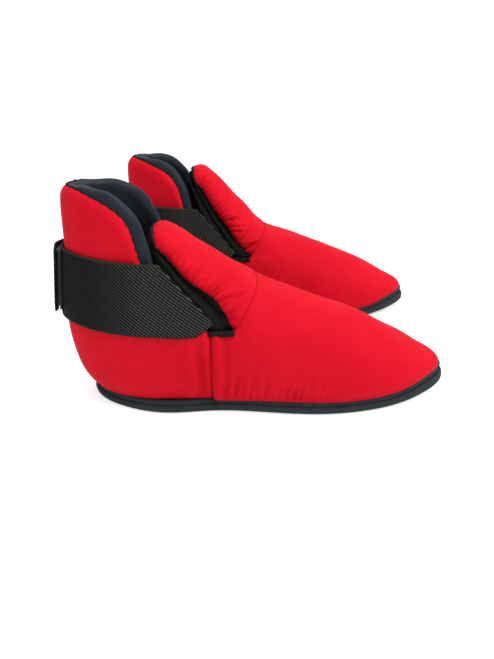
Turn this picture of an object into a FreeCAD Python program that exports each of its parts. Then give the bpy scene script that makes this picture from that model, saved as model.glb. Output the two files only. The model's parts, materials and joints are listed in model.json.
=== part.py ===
import FreeCAD, Part
import math
import os

# A pair of foam-padded sparring boots standing side by side on z = 0, toes towards +X, in millimetres.
# Each boot is drawn as a right boot in its own frame: x runs forward from the back of the sole, y is
# positive on the medial side, z is up. The left boot is its mirror image. The origin of the pair is the
# middle of its footprint.

Vec = FreeCAD.Vector

# ---- sole ----
SOLE_HALF_OUTLINE = [
    (0.0, 0.0), (2.5, 9.0), (8.5, 18.0), (27.0, 31.0), (60.0, 40.5), (93.0, 38.8), (130.0, 41.5),
    (172.0, 45.0), (208.0, 40.5), (237.0, 30.5), (255.0, 19.0), (265.5, 8.5), (269.0, 0.0),
]
SOLE_MIDDLE = Vec(140.0, 0.0, 0.0)
OUTSOLE_TOP = 2.4
BOARD_TOP = 5.2
BINDING_TOP = 6.2
INSOLE_THICKNESS = 4.0
BINDING_EDGE = 1.0
BINDING_UNDERLAP = 6.0
BINDING_OVERLAP = 13.0
BINDING_JOINT_X = 97.0
INSOLE_INSET = 23.0
LAYER_GAP = 0.15

# ---- layers of the padded upper, as depths in from the outer surface ----
COVER = (0.0, 1.0)
FOAM = (1.15, 10.3)
LINING = (10.45, 11.4)
WALL = (0.0, 11.4)
UPPER_BASE = BINDING_TOP + 0.2

# ---- heel cup: height, rearmost x, half width ----
CUP_LEVELS = [
    (UPPER_BASE, 1.5, 33.0), (17.0, -4.5, 38.5), (33.0, -9.8, 41.3), (50.0, -11.3, 41.5), (66.0, -10.4, 40.6),
    (90.0, -6.0, 38.8), (118.0, -1.0, 36.3), (140.0, 0.5, 33.4), (157.0, 3.5, 31.3),
]
CUP_ROUND_FROM = 60.0
CUP_SHARPNESS = 1.12
SIDE_SEAM_X = 94.0
SEAM_GAP = 0.15
CUP_EDGE = [
    (-60.0, 152.5), (8.0, 152.5), (24.0, 151.6), (36.0, 148.0), (44.0, 141.0), (48.5, 130.5), (51.0, 117.0),
    (54.0, 103.0), (61.0, 88.0), (74.0, 73.0), (94.0, 64.0),
]
EDGING = 2.8

# ---- vamp: x, base half width, widest half width, height of the widest, crown height, squareness ----
VAMP_STATIONS = [
    (94.0, 33.0, 41.2, 28.0, 112.0, 0.50),
    (110.0, 33.5, 41.6, 27.0, 100.0, 0.52),
    (127.0, 34.5, 42.4, 26.0, 88.0, 0.60),
    (150.0, 37.0, 44.0, 24.0, 77.0, 0.75),
    (178.0, 38.5, 45.0, 21.5, 67.0, 0.90),
    (206.0, 34.0, 41.0, 19.0, 57.0, 1.00),
    (230.0, 25.5, 33.5, 16.5, 44.0, 1.00),
    (248.0, 16.0, 23.5, 14.0, 31.0, 1.00),
    (261.0, 5.0, 9.0, 10.5, 18.0, 1.00),
]
ARCH_ANGLES = (0.0, 22.0, 42.0, 60.0, 76.0)
THROAT_Z = 64.0
THROAT_EDGING = 1.2

# ---- tongue: distance along it from the instep seam, half width, drop of its side edges ----
INSTEP = (127.0, 88.0)
TONGUE_TILT = 34.3
TONGUE_SECTIONS = [
    (0.4, 41.0, 27.0), (20.0, 37.5, 21.0), (41.0, 32.5, 17.0), (60.0, 27.5, 13.0), (73.0, 21.5, 9.0),
    (82.0, 10.0, 3.0),
]
TONGUE_THICKNESS = 15.0
TONGUE_SKIN = 1.0
LEFT_TONGUE_RAISED = 11.0

# ---- straps ----
STRAP_BOTTOM = 63.5
STRAP_TOP = 112.5
STRAP_THICKNESS = 2.0
LATERAL_STRAP_HALF_WIDTHS = (43.8, 40.2)
MEDIAL_STRAP_HALF_WIDTHS = (47.4, 43.8)
LATERAL_STRAP_BACK = (-14.0, -8.4)
MEDIAL_STRAP_BACK = (-18.7, -13.1)
LATERAL_STRAP_END_Y = 22.0
MEDIAL_STRAP_END_Y = -12.0
STRAP_TILT = 3.0
STRAP_TILT_ABOUT = (45.0, 88.0)
STRAP_FRONT = [(54.0, 125.0), (97.0, 70.0), (84.0, 60.0)]
STRAP_HINGE = (96.5, 46.4)
PATCH_THICKNESS = 0.9
PATCH_MARGIN = 3.0

# ---- stitches ----
STITCH_LENGTH = 4.0
STITCH_PITCH = 7.0
STITCH_SIZE = 0.7
SOLE_STITCH_INSET = 4.0
CLEAR_OF_HEEL_X = 45.0

# ---- how the pair stands ----
BOOT_SPACING = 146.0
LEFT_BOOT_FORWARD = 11.0
LEFT_BOOT_YAW = 1.0

BIG = 400.0


def mirrored(points):
    """A half outline on the medial side, closed round the lateral side without its end points."""
    return points + [(x, -y) for x, y in reversed(points[1:-1])]


def closed_curve(points):
    curve = Part.BSplineCurve()
    curve.interpolate(Points=points, PeriodicFlag=True)
    return curve


def sole_outline(inset):
    """The outline of the sole seen from above, moved inwards by inset."""
    points = [Vec(x, y, 0) for x, y in mirrored(SOLE_HALF_OUTLINE)]
    curve = closed_curve(points)
    if not inset:
        return curve
    moved = []
    for point in points:
        tangent = curve.tangent(curve.parameter(point))[0]
        outward = tangent.cross(Vec(0, 0, 1))
        if outward * (point - SOLE_MIDDLE) < 0:
            outward = outward * -1
        moved.append(point - outward * inset)
    return closed_curve(moved)


def sole_slab(inset, bottom, top):
    face = Part.Face(Part.Wire([sole_outline(inset).toShape()]))
    face.translate(Vec(0, 0, bottom))
    return face.extrude(Vec(0, 0, top - bottom))


def half_space_x(x, forward):
    corner = Vec(x if forward else x - BIG, -BIG / 2, -BIG / 2)
    return Part.makeBox(BIG, BIG, BIG, corner)


def half_space_y(y, medial):
    corner = Vec(-BIG / 2, y if medial else y - BIG, -BIG / 2)
    return Part.makeBox(BIG, BIG, BIG, corner)


def open_curve(points):
    curve = Part.BSplineCurve()
    curve.interpolate(points)
    return curve


def side_prism(smooth, straight, inset=0.0):
    """A prism along y whose outline in the xz plane is a smooth curve closed by straight lines.

    The smooth stretch runs forwards and down; inset moves it backwards and down.
    """
    vectors = [Vec(x, 0, z) for x, z in smooth]
    curve = open_curve(vectors)
    if inset:
        moved = []
        for point in vectors:
            tangent = curve.tangent(curve.parameter(point))[0]
            moved.append(point + Vec(0, 1, 0).cross(tangent) * inset)
        curve = open_curve(moved)
    ends = [curve.value(curve.LastParameter)] + [Vec(x, 0, z) for x, z in straight]
    ends.append(curve.value(curve.FirstParameter))
    edges = [curve.toShape()] + [Part.makeLine(a, b) for a, b in zip(ends, ends[1:])]
    return prism_of(edges)


def side_polygon(points):
    """A prism along y whose outline in the xz plane is made of straight lines."""
    vectors = [Vec(x, 0, z) for x, z in points + points[:1]]
    return prism_of([Part.makeLine(a, b) for a, b in zip(vectors, vectors[1:])])


def prism_of(edges):
    face = Part.Face(Part.Wire(edges))
    face.translate(Vec(0, -BIG / 2, 0))
    return face.extrude(Vec(0, BIG, 0))


# ---------------------------------------------------------------- sole
def insole_slab(bottom):
    """The insole keeps the outline's shape, drawn smaller about the middle of the sole."""
    length = SOLE_HALF_OUTLINE[-1][0]
    width = max(y for x, y in SOLE_HALF_OUTLINE)
    small = [
        Vec(INSOLE_INSET + x * (length - 2 * INSOLE_INSET) / length, y * (width - INSOLE_INSET) / width, bottom)
        for x, y in mirrored(SOLE_HALF_OUTLINE)
    ]
    face = Part.Face(Part.Wire([closed_curve(small).toShape()]))
    return face.extrude(Vec(0, 0, INSOLE_THICKNESS))


def sole_binding():
    ring = sole_slab(0, 0, BINDING_TOP)
    ring = ring.cut(sole_slab(BINDING_UNDERLAP, -1, OUTSOLE_TOP))
    ring = ring.cut(sole_slab(BINDING_EDGE, OUTSOLE_TOP, BOARD_TOP))
    return ring.cut(sole_slab(BINDING_OVERLAP, BOARD_TOP - 1, BINDING_TOP + 1))


def sole_parts():
    binding = sole_binding()
    gap = LAYER_GAP
    return {
        "outsole": sole_slab(BINDING_UNDERLAP + gap, 0, OUTSOLE_TOP),
        "sole_board": sole_slab(BINDING_EDGE + gap, OUTSOLE_TOP + gap, BOARD_TOP - gap),
        "insole": insole_slab(BOARD_TOP + gap),
        "sole_binding_front": binding.common(half_space_x(BINDING_JOINT_X + gap, True)),
        "sole_binding_heel": binding.common(half_space_x(BINDING_JOINT_X - gap, False)),
        "sole_stitching": sole_stitching(),
    }


def stitch(centre, direction, normal):
    """One stitch: a short flat bar along direction that stands on the surface at centre."""
    along = Vec(direction).normalize()
    up = Vec(normal).normalize()
    across = up.cross(along)
    bar = Part.makeBox(STITCH_LENGTH, STITCH_SIZE, STITCH_SIZE, Vec(-STITCH_LENGTH / 2, -STITCH_SIZE / 2, 0))
    turn = FreeCAD.Matrix(
        along.x, across.x, up.x, centre.x,
        along.y, across.y, up.y, centre.y,
        along.z, across.z, up.z, centre.z,
        0, 0, 0, 1,
    )
    return bar.transformGeometry(turn)


def sole_stitching():
    edge = sole_outline(SOLE_STITCH_INSET).toShape()
    count = int(edge.Length / STITCH_PITCH)
    bars = []
    for i in range(count):
        place = edge.getParameterByLength(edge.Length * (i + 0.5) / count)
        centre = edge.valueAt(place) + Vec(0, 0, BINDING_TOP + 0.05)
        if abs(centre.x - BINDING_JOINT_X) < STITCH_LENGTH or centre.x < CLEAR_OF_HEEL_X:
            continue
        bars.append(stitch(centre, edge.tangentAt(place), Vec(0, 0, 1)))
    return Part.makeCompound(bars)


# ---------------------------------------------------------------- heel cup
def heel_curve_points(back, half_width, front):
    """Points of a U seen from above: along the medial side, round the back, along the lateral side."""
    half = []
    for angle in (0.0, 18.0, 36.0, 54.0, 72.0, 90.0):
        t = math.radians(angle)
        x = CUP_ROUND_FROM - (CUP_ROUND_FROM - back) * math.cos(t)
        half.append((x, half_width * math.sin(t) ** CUP_SHARPNESS))
    half.append(((CUP_ROUND_FROM + front) / 2, half_width))
    half.append((front, half_width))
    return list(reversed(half)) + [(x, -y) for x, y in half[1:]]


def heel_curve(back, half_width, front, z):
    return open_curve([Vec(x, y, z) for x, y in heel_curve_points(back, half_width, front)]).toShape()


def cup_body(depth):
    """The heel cup filled solid, with its surface set in by depth."""
    wires = []
    front = SIDE_SEAM_X - SEAM_GAP
    for z, back, half_width in CUP_LEVELS:
        edge = heel_curve(back + depth, half_width - depth, front, z)
        ends = [edge.valueAt(edge.LastParameter), edge.valueAt(edge.FirstParameter)]
        wires.append(Part.Wire([edge, Part.makeLine(ends[0], ends[1])]))
    return Part.makeLoft(wires, True, False)


def cup_shell(depths):
    inner = cup_body(depths[1])
    reach = Part.makeBox(BIG, BIG, BIG, Vec(SIDE_SEAM_X - 5, -BIG / 2, -BIG / 2))
    gap = inner.common(reach)
    gap.translate(Vec(3, 0, 0))
    return cup_body(depths[0]).cut(inner).cut(gap)


def cup_side_view(inset):
    """The cup seen from the side, filled: everything under its top edge and behind its front edge."""
    beyond = [(154.0, 64.0), (154.0, -20.0), (-60.0, -20.0)]
    return side_prism(CUP_EDGE, beyond, inset)


def heel_parts():
    inside = cup_side_view(EDGING + LAYER_GAP)
    edging = cup_shell(WALL).common(cup_side_view(0)).cut(cup_side_view(EDGING))
    return {
        "heel_cover": cup_shell(COVER).common(inside),
        "heel_foam": cup_shell(FOAM).common(inside),
        "heel_lining": cup_shell(LINING).common(inside),
        "heel_edging": edging,
    }


# ---------------------------------------------------------------- vamp
def arch_wire(x, base, widest, widest_z, crown, squareness):
    half = [(base, UPPER_BASE)]
    for angle in ARCH_ANGLES:
        t = math.radians(angle)
        half.append((widest * math.cos(t) ** squareness, widest_z + (crown - widest_z) * math.sin(t)))
    points = half + [(0.0, crown)] + [(-y, z) for y, z in reversed(half)]
    arch = open_curve([Vec(x, y, z) for y, z in points])
    bottom = Part.makeLine(Vec(x, -base, UPPER_BASE), Vec(x, base, UPPER_BASE))
    return Part.Wire([arch.toShape(), bottom])


def vamp_body(depth):
    """The vamp filled solid from the side seam to the toe, with its surface set in by depth."""
    start = VAMP_STATIONS[0]
    instep = VAMP_STATIONS[3]
    length = VAMP_STATIONS[-1][0] - start[0]
    along = (length - depth) / length
    base_scale = (start[1] - depth) / start[1]
    width_scale = (start[2] - depth) / start[2]
    rise = instep[4] - UPPER_BASE
    rise_scale = (rise - depth) / rise
    wires = []
    for x, base, widest, widest_z, crown, squareness in VAMP_STATIONS:
        wires.append(arch_wire(
            start[0] + SEAM_GAP + (x - start[0]) * along,
            base * base_scale,
            widest * width_scale,
            UPPER_BASE + (widest_z - UPPER_BASE) * rise_scale,
            UPPER_BASE + (crown - UPPER_BASE) * rise_scale,
            squareness,
        ))
    return Part.makeLoft(wires, True, False)


def vamp_shell(depths):
    inner = vamp_body(depths[1])
    rear = inner.common(half_space_x(SIDE_SEAM_X + 5, False))
    rear.translate(Vec(-3, 0, 0))
    return vamp_body(depths[0]).cut(inner).cut(rear)


def seam_x(z):
    """Where the slanted instep seam is at height z."""
    return INSTEP[0] + (z - INSTEP[1]) * math.tan(math.radians(TONGUE_TILT))


def throat_cut(bottom):
    """The space behind the instep seam and above the throat's bottom edge."""
    top = INSTEP[1] + 60
    return side_polygon([(0.0, bottom), (seam_x(bottom), bottom), (seam_x(top), top), (0.0, top)])


def vamp_parts():
    throat = throat_cut(THROAT_Z - THROAT_EDGING - LAYER_GAP)
    edging = vamp_shell(WALL).common(throat_cut(THROAT_Z - THROAT_EDGING)).cut(throat_cut(THROAT_Z))
    return {
        "vamp_cover": vamp_shell(COVER).cut(throat),
        "vamp_foam": vamp_shell(FOAM).cut(throat),
        "vamp_lining": vamp_shell(LINING).cut(throat),
        "throat_edging": edging,
    }


# ---------------------------------------------------------------- tongue
def tongue_point(along, y, drop):
    """A point of the tongue: along it from the instep seam, sideways, and below its crown line."""
    tilt = math.radians(TONGUE_TILT)
    x = INSTEP[0] - along * math.cos(tilt) - drop * math.sin(tilt)
    z = INSTEP[1] + along * math.sin(tilt) - drop * math.cos(tilt)
    return Vec(x, y, z)


def tongue_body(top, bottom, side=0.0, end=0.0):
    """The tongue between two depths below its outer face, with its sides and end set in."""
    wires = []
    for along, half_width, edge_drop in TONGUE_SECTIONS:
        s = min(along, TONGUE_SECTIONS[-1][0] - end)
        w = half_width - side
        upper = [tongue_point(s, -w, edge_drop + top), tongue_point(s, 0, top), tongue_point(s, w, edge_drop + top)]
        lower = [tongue_point(s, w, edge_drop + bottom), tongue_point(s, 0, bottom),
                 tongue_point(s, -w, edge_drop + bottom)]
        wires.append(Part.Wire([
            Part.Arc(*upper).toShape(),
            Part.makeLine(upper[2], lower[0]),
            Part.Arc(*lower).toShape(),
            Part.makeLine(lower[2], upper[0]),
        ]))
    return Part.makeLoft(wires, True, False)


def tongue_parts():
    below_throat = Part.makeBox(BIG, BIG, BIG, Vec(-BIG / 2, -BIG / 2, THROAT_Z + 0.6 - BIG))
    cover = tongue_body(0, TONGUE_SKIN)
    under = tongue_body(TONGUE_SKIN + LAYER_GAP, TONGUE_THICKNESS)
    hollow = tongue_body(0, TONGUE_THICKNESS - TONGUE_SKIN, side=TONGUE_SKIN, end=TONGUE_SKIN)
    foam = tongue_body(
        TONGUE_SKIN + LAYER_GAP,
        TONGUE_THICKNESS - TONGUE_SKIN - LAYER_GAP,
        side=TONGUE_SKIN + LAYER_GAP,
        end=TONGUE_SKIN + LAYER_GAP,
    )
    parts = {"tongue_cover": cover, "tongue_foam": foam, "tongue_lining": under.cut(hollow)}
    return {name: shape.cut(below_throat) for name, shape in parts.items()}


# ---------------------------------------------------------------- straps
def strap_ring(backs, widths, outset, thickness, bottom=STRAP_BOTTOM, top=STRAP_TOP):
    """A band of webbing round the heel, open at the front; outset moves its outer face outwards."""
    wires = []
    for level in (bottom, top):
        share = (level - STRAP_BOTTOM) / (STRAP_TOP - STRAP_BOTTOM)
        back = backs[0] + (backs[1] - backs[0]) * share - outset
        width = widths[0] + (widths[1] - widths[0]) * share + outset
        front = max(x for x, z in STRAP_FRONT) + 5
        outer = heel_curve(back, width, front, level)
        inner = heel_curve(back + thickness, width - thickness, front, level)
        wires.append(Part.Wire([
            outer,
            Part.makeLine(outer.valueAt(outer.LastParameter), inner.valueAt(inner.LastParameter)),
            inner,
            Part.makeLine(inner.valueAt(inner.FirstParameter), outer.valueAt(outer.FirstParameter)),
        ]))
    return Part.makeLoft(wires, True, True)


def behind_strap_front():
    """Everything behind the slanted line along which the straps are sewn into the throat."""
    top = STRAP_FRONT[0][1]
    bottom = STRAP_FRONT[-1][1]
    return side_polygon(STRAP_FRONT + [(-BIG / 2, bottom), (-BIG / 2, top)])


def closure_stitching():
    """Stitches up both ends of the hook patch, on the outside of the medial strap."""
    face_x = MEDIAL_STRAP_BACK[0] - 0.05
    lean = (MEDIAL_STRAP_BACK[1] - MEDIAL_STRAP_BACK[0]) / (STRAP_TOP - STRAP_BOTTOM)
    count = int((STRAP_TOP - STRAP_BOTTOM - 2 * PATCH_MARGIN) / STITCH_PITCH)
    bars = []
    for i in range(count):
        z = STRAP_BOTTOM + PATCH_MARGIN + STITCH_PITCH * (i + 0.5)
        x = face_x + lean * (z - STRAP_BOTTOM)
        bars.append(stitch(Vec(x, 0, z), Vec(lean, 0, 1), Vec(-1, 0, lean)))
    return Part.makeCompound(bars)


def strap_parts():
    behind = behind_strap_front()
    lateral_ring = (LATERAL_STRAP_BACK, LATERAL_STRAP_HALF_WIDTHS)
    medial_ring = (MEDIAL_STRAP_BACK, MEDIAL_STRAP_HALF_WIDTHS)
    patch_levels = (STRAP_BOTTOM + PATCH_MARGIN, STRAP_TOP - PATCH_MARGIN)
    lateral = strap_ring(*lateral_ring, 0, STRAP_THICKNESS)
    medial = strap_ring(*medial_ring, 0, STRAP_THICKNESS)
    loop = strap_ring(*lateral_ring, 0.1 + PATCH_THICKNESS, PATCH_THICKNESS, *patch_levels)
    hook = strap_ring(*medial_ring, -STRAP_THICKNESS - 0.1, PATCH_THICKNESS, *patch_levels)
    patch_zone = half_space_y(MEDIAL_STRAP_END_Y + 2, True).common(half_space_y(LATERAL_STRAP_END_Y - 2, False))
    parts = {
        "lateral_strap": lateral.common(half_space_y(LATERAL_STRAP_END_Y, False)),
        "medial_strap": medial.common(half_space_y(MEDIAL_STRAP_END_Y, True)),
        "loop_patch": loop.common(patch_zone),
        "hook_patch": hook.common(patch_zone),
        "closure_stitching": closure_stitching(),
    }
    pivot = Vec(STRAP_TILT_ABOUT[0], 0, STRAP_TILT_ABOUT[1])
    for name, shape in parts.items():
        shape.rotate(pivot, Vec(0, 1, 0), STRAP_TILT)
        if name.endswith("strap"):
            parts[name] = shape.common(behind)
    return parts


# ---------------------------------------------------------------- the pair
def right_boot():
    parts = sole_parts()
    parts.update(heel_parts())
    parts.update(vamp_parts())
    parts.update(tongue_parts())
    parts.update(strap_parts())
    return parts


def stand_left(shape):
    """Turns and moves something drawn in the left boot's frame to where the left boot stands."""
    shape.rotate(Vec(0, 0, 0), Vec(0, 0, 1), LEFT_BOOT_YAW)
    shape.translate(Vec(LEFT_BOOT_FORWARD, BOOT_SPACING, 0))
    return shape


def left_boot(right):
    """The right boot mirrored, with its tongue bent further up, set beside and a little ahead of it."""
    parts = {}
    for name, shape in right.items():
        shape = shape.mirror(Vec(0, 0, 0), Vec(0, 1, 0))
        if name.startswith("tongue"):
            shape.rotate(Vec(INSTEP[0], 0, INSTEP[1]), Vec(0, 1, 0), LEFT_TONGUE_RAISED)
        parts[name] = stand_left(shape)
    return parts


def report_joints(shift):
    """Prints where the hinges are in the pair's frame, for the record."""
    instep = Vec(INSTEP[0], 0, INSTEP[1])
    strap = Vec(STRAP_HINGE[0], STRAP_HINGE[1], (STRAP_BOTTOM + STRAP_TOP) / 2)
    for name, point in (("tongue hinge", instep), ("strap hinge", strap)):
        right = point + shift
        left = stand_left(Part.Vertex(point.x, -point.y, point.z)).Point + shift
        print(name, "right", [round(v, 2) for v in right], "left", [round(v, 2) for v in left])


def pair():
    right = right_boot()
    nodes = {"right_" + name: shape for name, shape in right.items()}
    nodes.update({"left_" + name: shape for name, shape in left_boot(right).items()})
    box = Part.makeCompound(list(nodes.values())).optimalBoundingBox(True, False)
    shift = Vec(-(box.XMin + box.XMax) / 2, -(box.YMin + box.YMax) / 2, -box.ZMin)
    for shape in nodes.values():
        shape.translate(shift)
    print("pair size", round(box.XLength, 1), round(box.YLength, 1), round(box.ZLength, 1))
    print("right boot frame sits at", [round(v, 3) for v in shift])
    report_joints(shift)
    return nodes


def main():
    os.makedirs("parts", exist_ok=True)
    for name, shape in pair().items():
        print(name, len(shape.Solids), "solids", round(shape.Volume), "mm3", shape.isValid())
        shape.exportStep("parts/" + name + ".step")


main()
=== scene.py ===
"""Padded cloth sparring boots: the looks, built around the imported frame.

Every shape is worked out in a boot's own frame, in millimetres: x forwards from the back of the sole,
y towards the inner side of the foot, z up. Boot.place() turns it into the frame of the pair, in metres.
"""
import json
import math

import bmesh
import bpy
import numpy as np
from mathutils import Matrix, Vector


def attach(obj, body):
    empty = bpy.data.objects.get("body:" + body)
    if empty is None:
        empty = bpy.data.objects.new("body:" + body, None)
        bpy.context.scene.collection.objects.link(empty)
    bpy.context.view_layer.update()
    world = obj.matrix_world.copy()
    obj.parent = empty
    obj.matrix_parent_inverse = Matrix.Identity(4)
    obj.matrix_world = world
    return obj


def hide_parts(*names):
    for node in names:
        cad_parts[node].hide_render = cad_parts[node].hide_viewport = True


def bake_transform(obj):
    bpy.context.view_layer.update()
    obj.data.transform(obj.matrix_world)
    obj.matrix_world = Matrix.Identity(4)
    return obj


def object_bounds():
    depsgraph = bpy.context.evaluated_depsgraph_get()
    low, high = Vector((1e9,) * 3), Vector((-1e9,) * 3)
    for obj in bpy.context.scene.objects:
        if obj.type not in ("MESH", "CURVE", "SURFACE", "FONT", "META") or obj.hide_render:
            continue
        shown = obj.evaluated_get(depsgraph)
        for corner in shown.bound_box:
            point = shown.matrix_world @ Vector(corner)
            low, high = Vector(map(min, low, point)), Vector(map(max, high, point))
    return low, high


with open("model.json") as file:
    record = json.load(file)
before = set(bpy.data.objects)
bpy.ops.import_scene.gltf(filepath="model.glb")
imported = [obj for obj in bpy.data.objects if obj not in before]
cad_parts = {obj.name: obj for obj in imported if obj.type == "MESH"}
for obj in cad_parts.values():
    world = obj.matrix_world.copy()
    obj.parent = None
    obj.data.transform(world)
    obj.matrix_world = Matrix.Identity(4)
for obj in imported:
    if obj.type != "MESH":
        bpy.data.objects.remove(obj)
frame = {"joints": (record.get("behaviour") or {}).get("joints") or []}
cad_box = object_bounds()

# ---- sole ----
SOLE_HALF_OUTLINE = [
    (0.0, 0.0), (2.5, 9.0), (8.5, 18.0), (27.0, 31.0), (60.0, 40.5), (93.0, 38.8), (130.0, 41.5),
    (172.0, 45.0), (208.0, 40.5), (237.0, 30.5), (255.0, 19.0), (265.5, 8.5), (269.0, 0.0),
]
SOLE_MIDDLE = (135.0, 0.0)
BINDING_JOINT_X = 97.0
TOE_SPRING_FROM = 196.0
TOE_SPRING_TO = 269.0
INSOLE_INSET = 23.0
UPPER_BASE = 6.4
TOE_SPRING_CURVE = 1.3
TOE_RISE = 6.2
TOE_RISE_FROM = 220.0
TOE_RISE_TO = 264.0
TOE_RISE_LEVELS = (2.0, 8.0)
TOE_RISE_FULL = 10.0

# ---- heel cup: height, rearmost x, half width ----
CUP_LEVELS = [
    (6.4, 1.5, 33.0), (17.0, -4.5, 38.5), (33.0, -9.8, 41.3), (50.0, -11.3, 41.5), (66.0, -10.4, 40.6),
    (90.0, -6.0, 38.8), (118.0, -1.0, 36.3), (140.0, 0.5, 33.4), (157.0, 3.5, 31.3),
]
CUP_ROUND_FROM = 60.0
CUP_SHARPNESS = 1.12
SIDE_SEAM_X = 94.0
CUP_EDGE = [
    (4.0, 152.0), (14.0, 151.0), (24.0, 147.2), (36.0, 141.8), (43.5, 135.2), (48.2, 126.5), (51.0, 115.5),
    (54.0, 103.0), (61.0, 88.0), (74.0, 73.0), (94.0, 64.0),
]
PAD_DEPTH = 12.0
CLOTH = 1.2

# ---- vamp: x, base half width, widest half width, height of the widest, crown height, squareness ----
VAMP_STATIONS = [
    (94.0, 33.0, 41.2, 28.0, 112.0, 0.50), (110.0, 33.5, 41.6, 27.0, 100.0, 0.52),
    (127.0, 34.5, 42.4, 26.0, 88.0, 0.60), (150.0, 37.0, 44.0, 24.0, 77.0, 0.75),
    (178.0, 38.5, 45.0, 21.5, 66.5, 0.90), (206.0, 34.0, 41.0, 19.0, 55.5, 1.00),
    (230.0, 25.5, 33.5, 16.5, 42.0, 1.00), (248.0, 16.0, 23.5, 14.0, 29.5, 1.00),
    (259.5, 8.0, 12.5, 11.0, 18.5, 1.00), (264.5, 0.0, 0.0, 9.5, 9.5, 1.00),
]
THROAT_Z = 64.0
INSTEP = np.array([127.0, 0.0, 88.0])
TONGUE_TILT = math.radians(34.3)

# ---- tongue: distance along it from the instep seam, half width, drop of its side edges ----
TONGUE_SECTIONS = [
    (0.0, 41.0, 27.0), (20.0, 37.5, 21.0), (41.0, 32.5, 17.0), (60.0, 27.5, 12.0), (72.0, 23.5, 8.0),
    (79.0, 18.0, 4.5), (83.0, 9.0, 1.5), (84.0, 0.0, 0.0),
]
TONGUE_DEPTH = 14.0
TONGUE_BEND = 32.0

# ---- what differs between the two boots ----
BOOT_SHAPES = {
    "right": {
        "toe_spring": 3.0, "tongue_length": 79.0, "tongue_narrowing": 0.12, "side_drop": 3.2,
        "tip_drop": 7.0, "instep_dip": 1.3, "wall_recess": 0.0, "cup_raise": 3.6, "cup_lean": 3.2,
        "tongue_raised": 0.0,
    },
    "left": {
        "toe_spring": 5.0, "tongue_length": 84.0, "tongue_narrowing": 0.02, "side_drop": 6.0,
        "tip_drop": 10.0, "instep_dip": 2.4, "wall_recess": 5.0, "cup_raise": 0.0, "cup_lean": 0.5,
        "tongue_raised": math.radians(11.0),
    },
}

# ---- straps ----
STRAP_BOTTOM = 63.5
STRAP_TOP = 112.5
STRAP_WIDTH = STRAP_TOP - STRAP_BOTTOM
STRAP_THICKNESS = 2.0
LATERAL_STRAP = {
    "backs": (-14.0, -8.4), "widths": (43.8, 40.2), "end_y": 22.0, "side": -1, "bow": (-0.2, 0.25),
}
MEDIAL_STRAP = {
    "backs": (-18.7, -13.1), "widths": (47.4, 43.8), "end_y": -12.0, "side": 1, "bow": (-0.3, 0.9),
}
STRAP_TILT = math.radians(3.0)
STRAP_TILT_ABOUT = (45.0, 88.0)
STRAP_FRONT = [(54.0, 125.0), (97.0, 70.0), (84.0, 60.0)]
PATCH_THICKNESS = 0.9
PATCH_MARGIN = 3.0
PATCH_ZONE = (-0.17, 0.33)


# ---------------------------------------------------------------- small mathematics
def spline(knots, values, at):
    """A natural cubic spline through values at knots, read at the places in at."""
    knots = np.asarray(knots, float)
    values = np.asarray(values, float)
    at = np.asarray(at, float)
    steps = np.diff(knots)
    count = len(knots)
    system = np.eye(count)
    right = np.zeros(count)
    for i in range(1, count - 1):
        system[i, i - 1:i + 2] = steps[i - 1], 2 * (steps[i - 1] + steps[i]), steps[i]
        right[i] = 6 * ((values[i + 1] - values[i]) / steps[i] - (values[i] - values[i - 1]) / steps[i - 1])
    bend = np.linalg.solve(system, right)
    i = np.clip(np.searchsorted(knots, at) - 1, 0, count - 2)
    h = steps[i]
    a = (knots[i + 1] - at) / h
    b = (at - knots[i]) / h
    smooth = ((a ** 3 - a) * bend[i] + (b ** 3 - b) * bend[i + 1]) * h * h / 6
    return a * values[i] + b * values[i + 1] + smooth


def smooth_step(low, high, value):
    t = np.clip((value - low) / (high - low), 0, 1)
    return t * t * (3 - 2 * t)


def hump(centre, width, value):
    return np.exp(-((value - centre) / width) ** 2)


def toe_rise(x, z=TOE_RISE_FULL):
    """How much higher a point of the binding or the vamp's foot stands at the toe than along the sides."""
    return TOE_RISE * smooth_step(TOE_RISE_FROM, TOE_RISE_TO, x) * smooth_step(*TOE_RISE_LEVELS, z)


def between(ends, share):
    return ends[0] + (ends[1] - ends[0]) * share


def unit(vectors):
    return vectors / np.maximum(np.linalg.norm(vectors, axis=-1, keepdims=True), 1e-12)


def normals_of(grid):
    """Unit normals of a grid of points, rows by columns."""
    return unit(np.cross(np.gradient(grid, axis=1), np.gradient(grid, axis=0)))


def facing(normals, outward):
    """The normals, turned over where they point against the outward directions."""
    sign = np.sign((normals * outward).sum(-1, keepdims=True))
    return normals * np.where(sign == 0, 1, sign)


def lengths_along(path):
    """The distance from the start of a polyline to each of its points."""
    return np.concatenate([[0], np.cumsum(np.linalg.norm(np.diff(path, axis=0), axis=1))])


def waviness(seed, count, low, high):
    """A sum of sines with seeded phases: a smooth, uneven function of one variable, about -1 to 1."""
    draw = np.random.default_rng(seed)
    rates = draw.uniform(low, high, count)
    phases = draw.uniform(0, 2 * math.pi, count)
    sizes = draw.uniform(0.5, 1.0, count)
    waves = list(zip(sizes, rates, phases))
    return lambda t: sum(s * np.sin(2 * math.pi * r * t + p) for s, r, p in waves) / sizes.sum()


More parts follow.
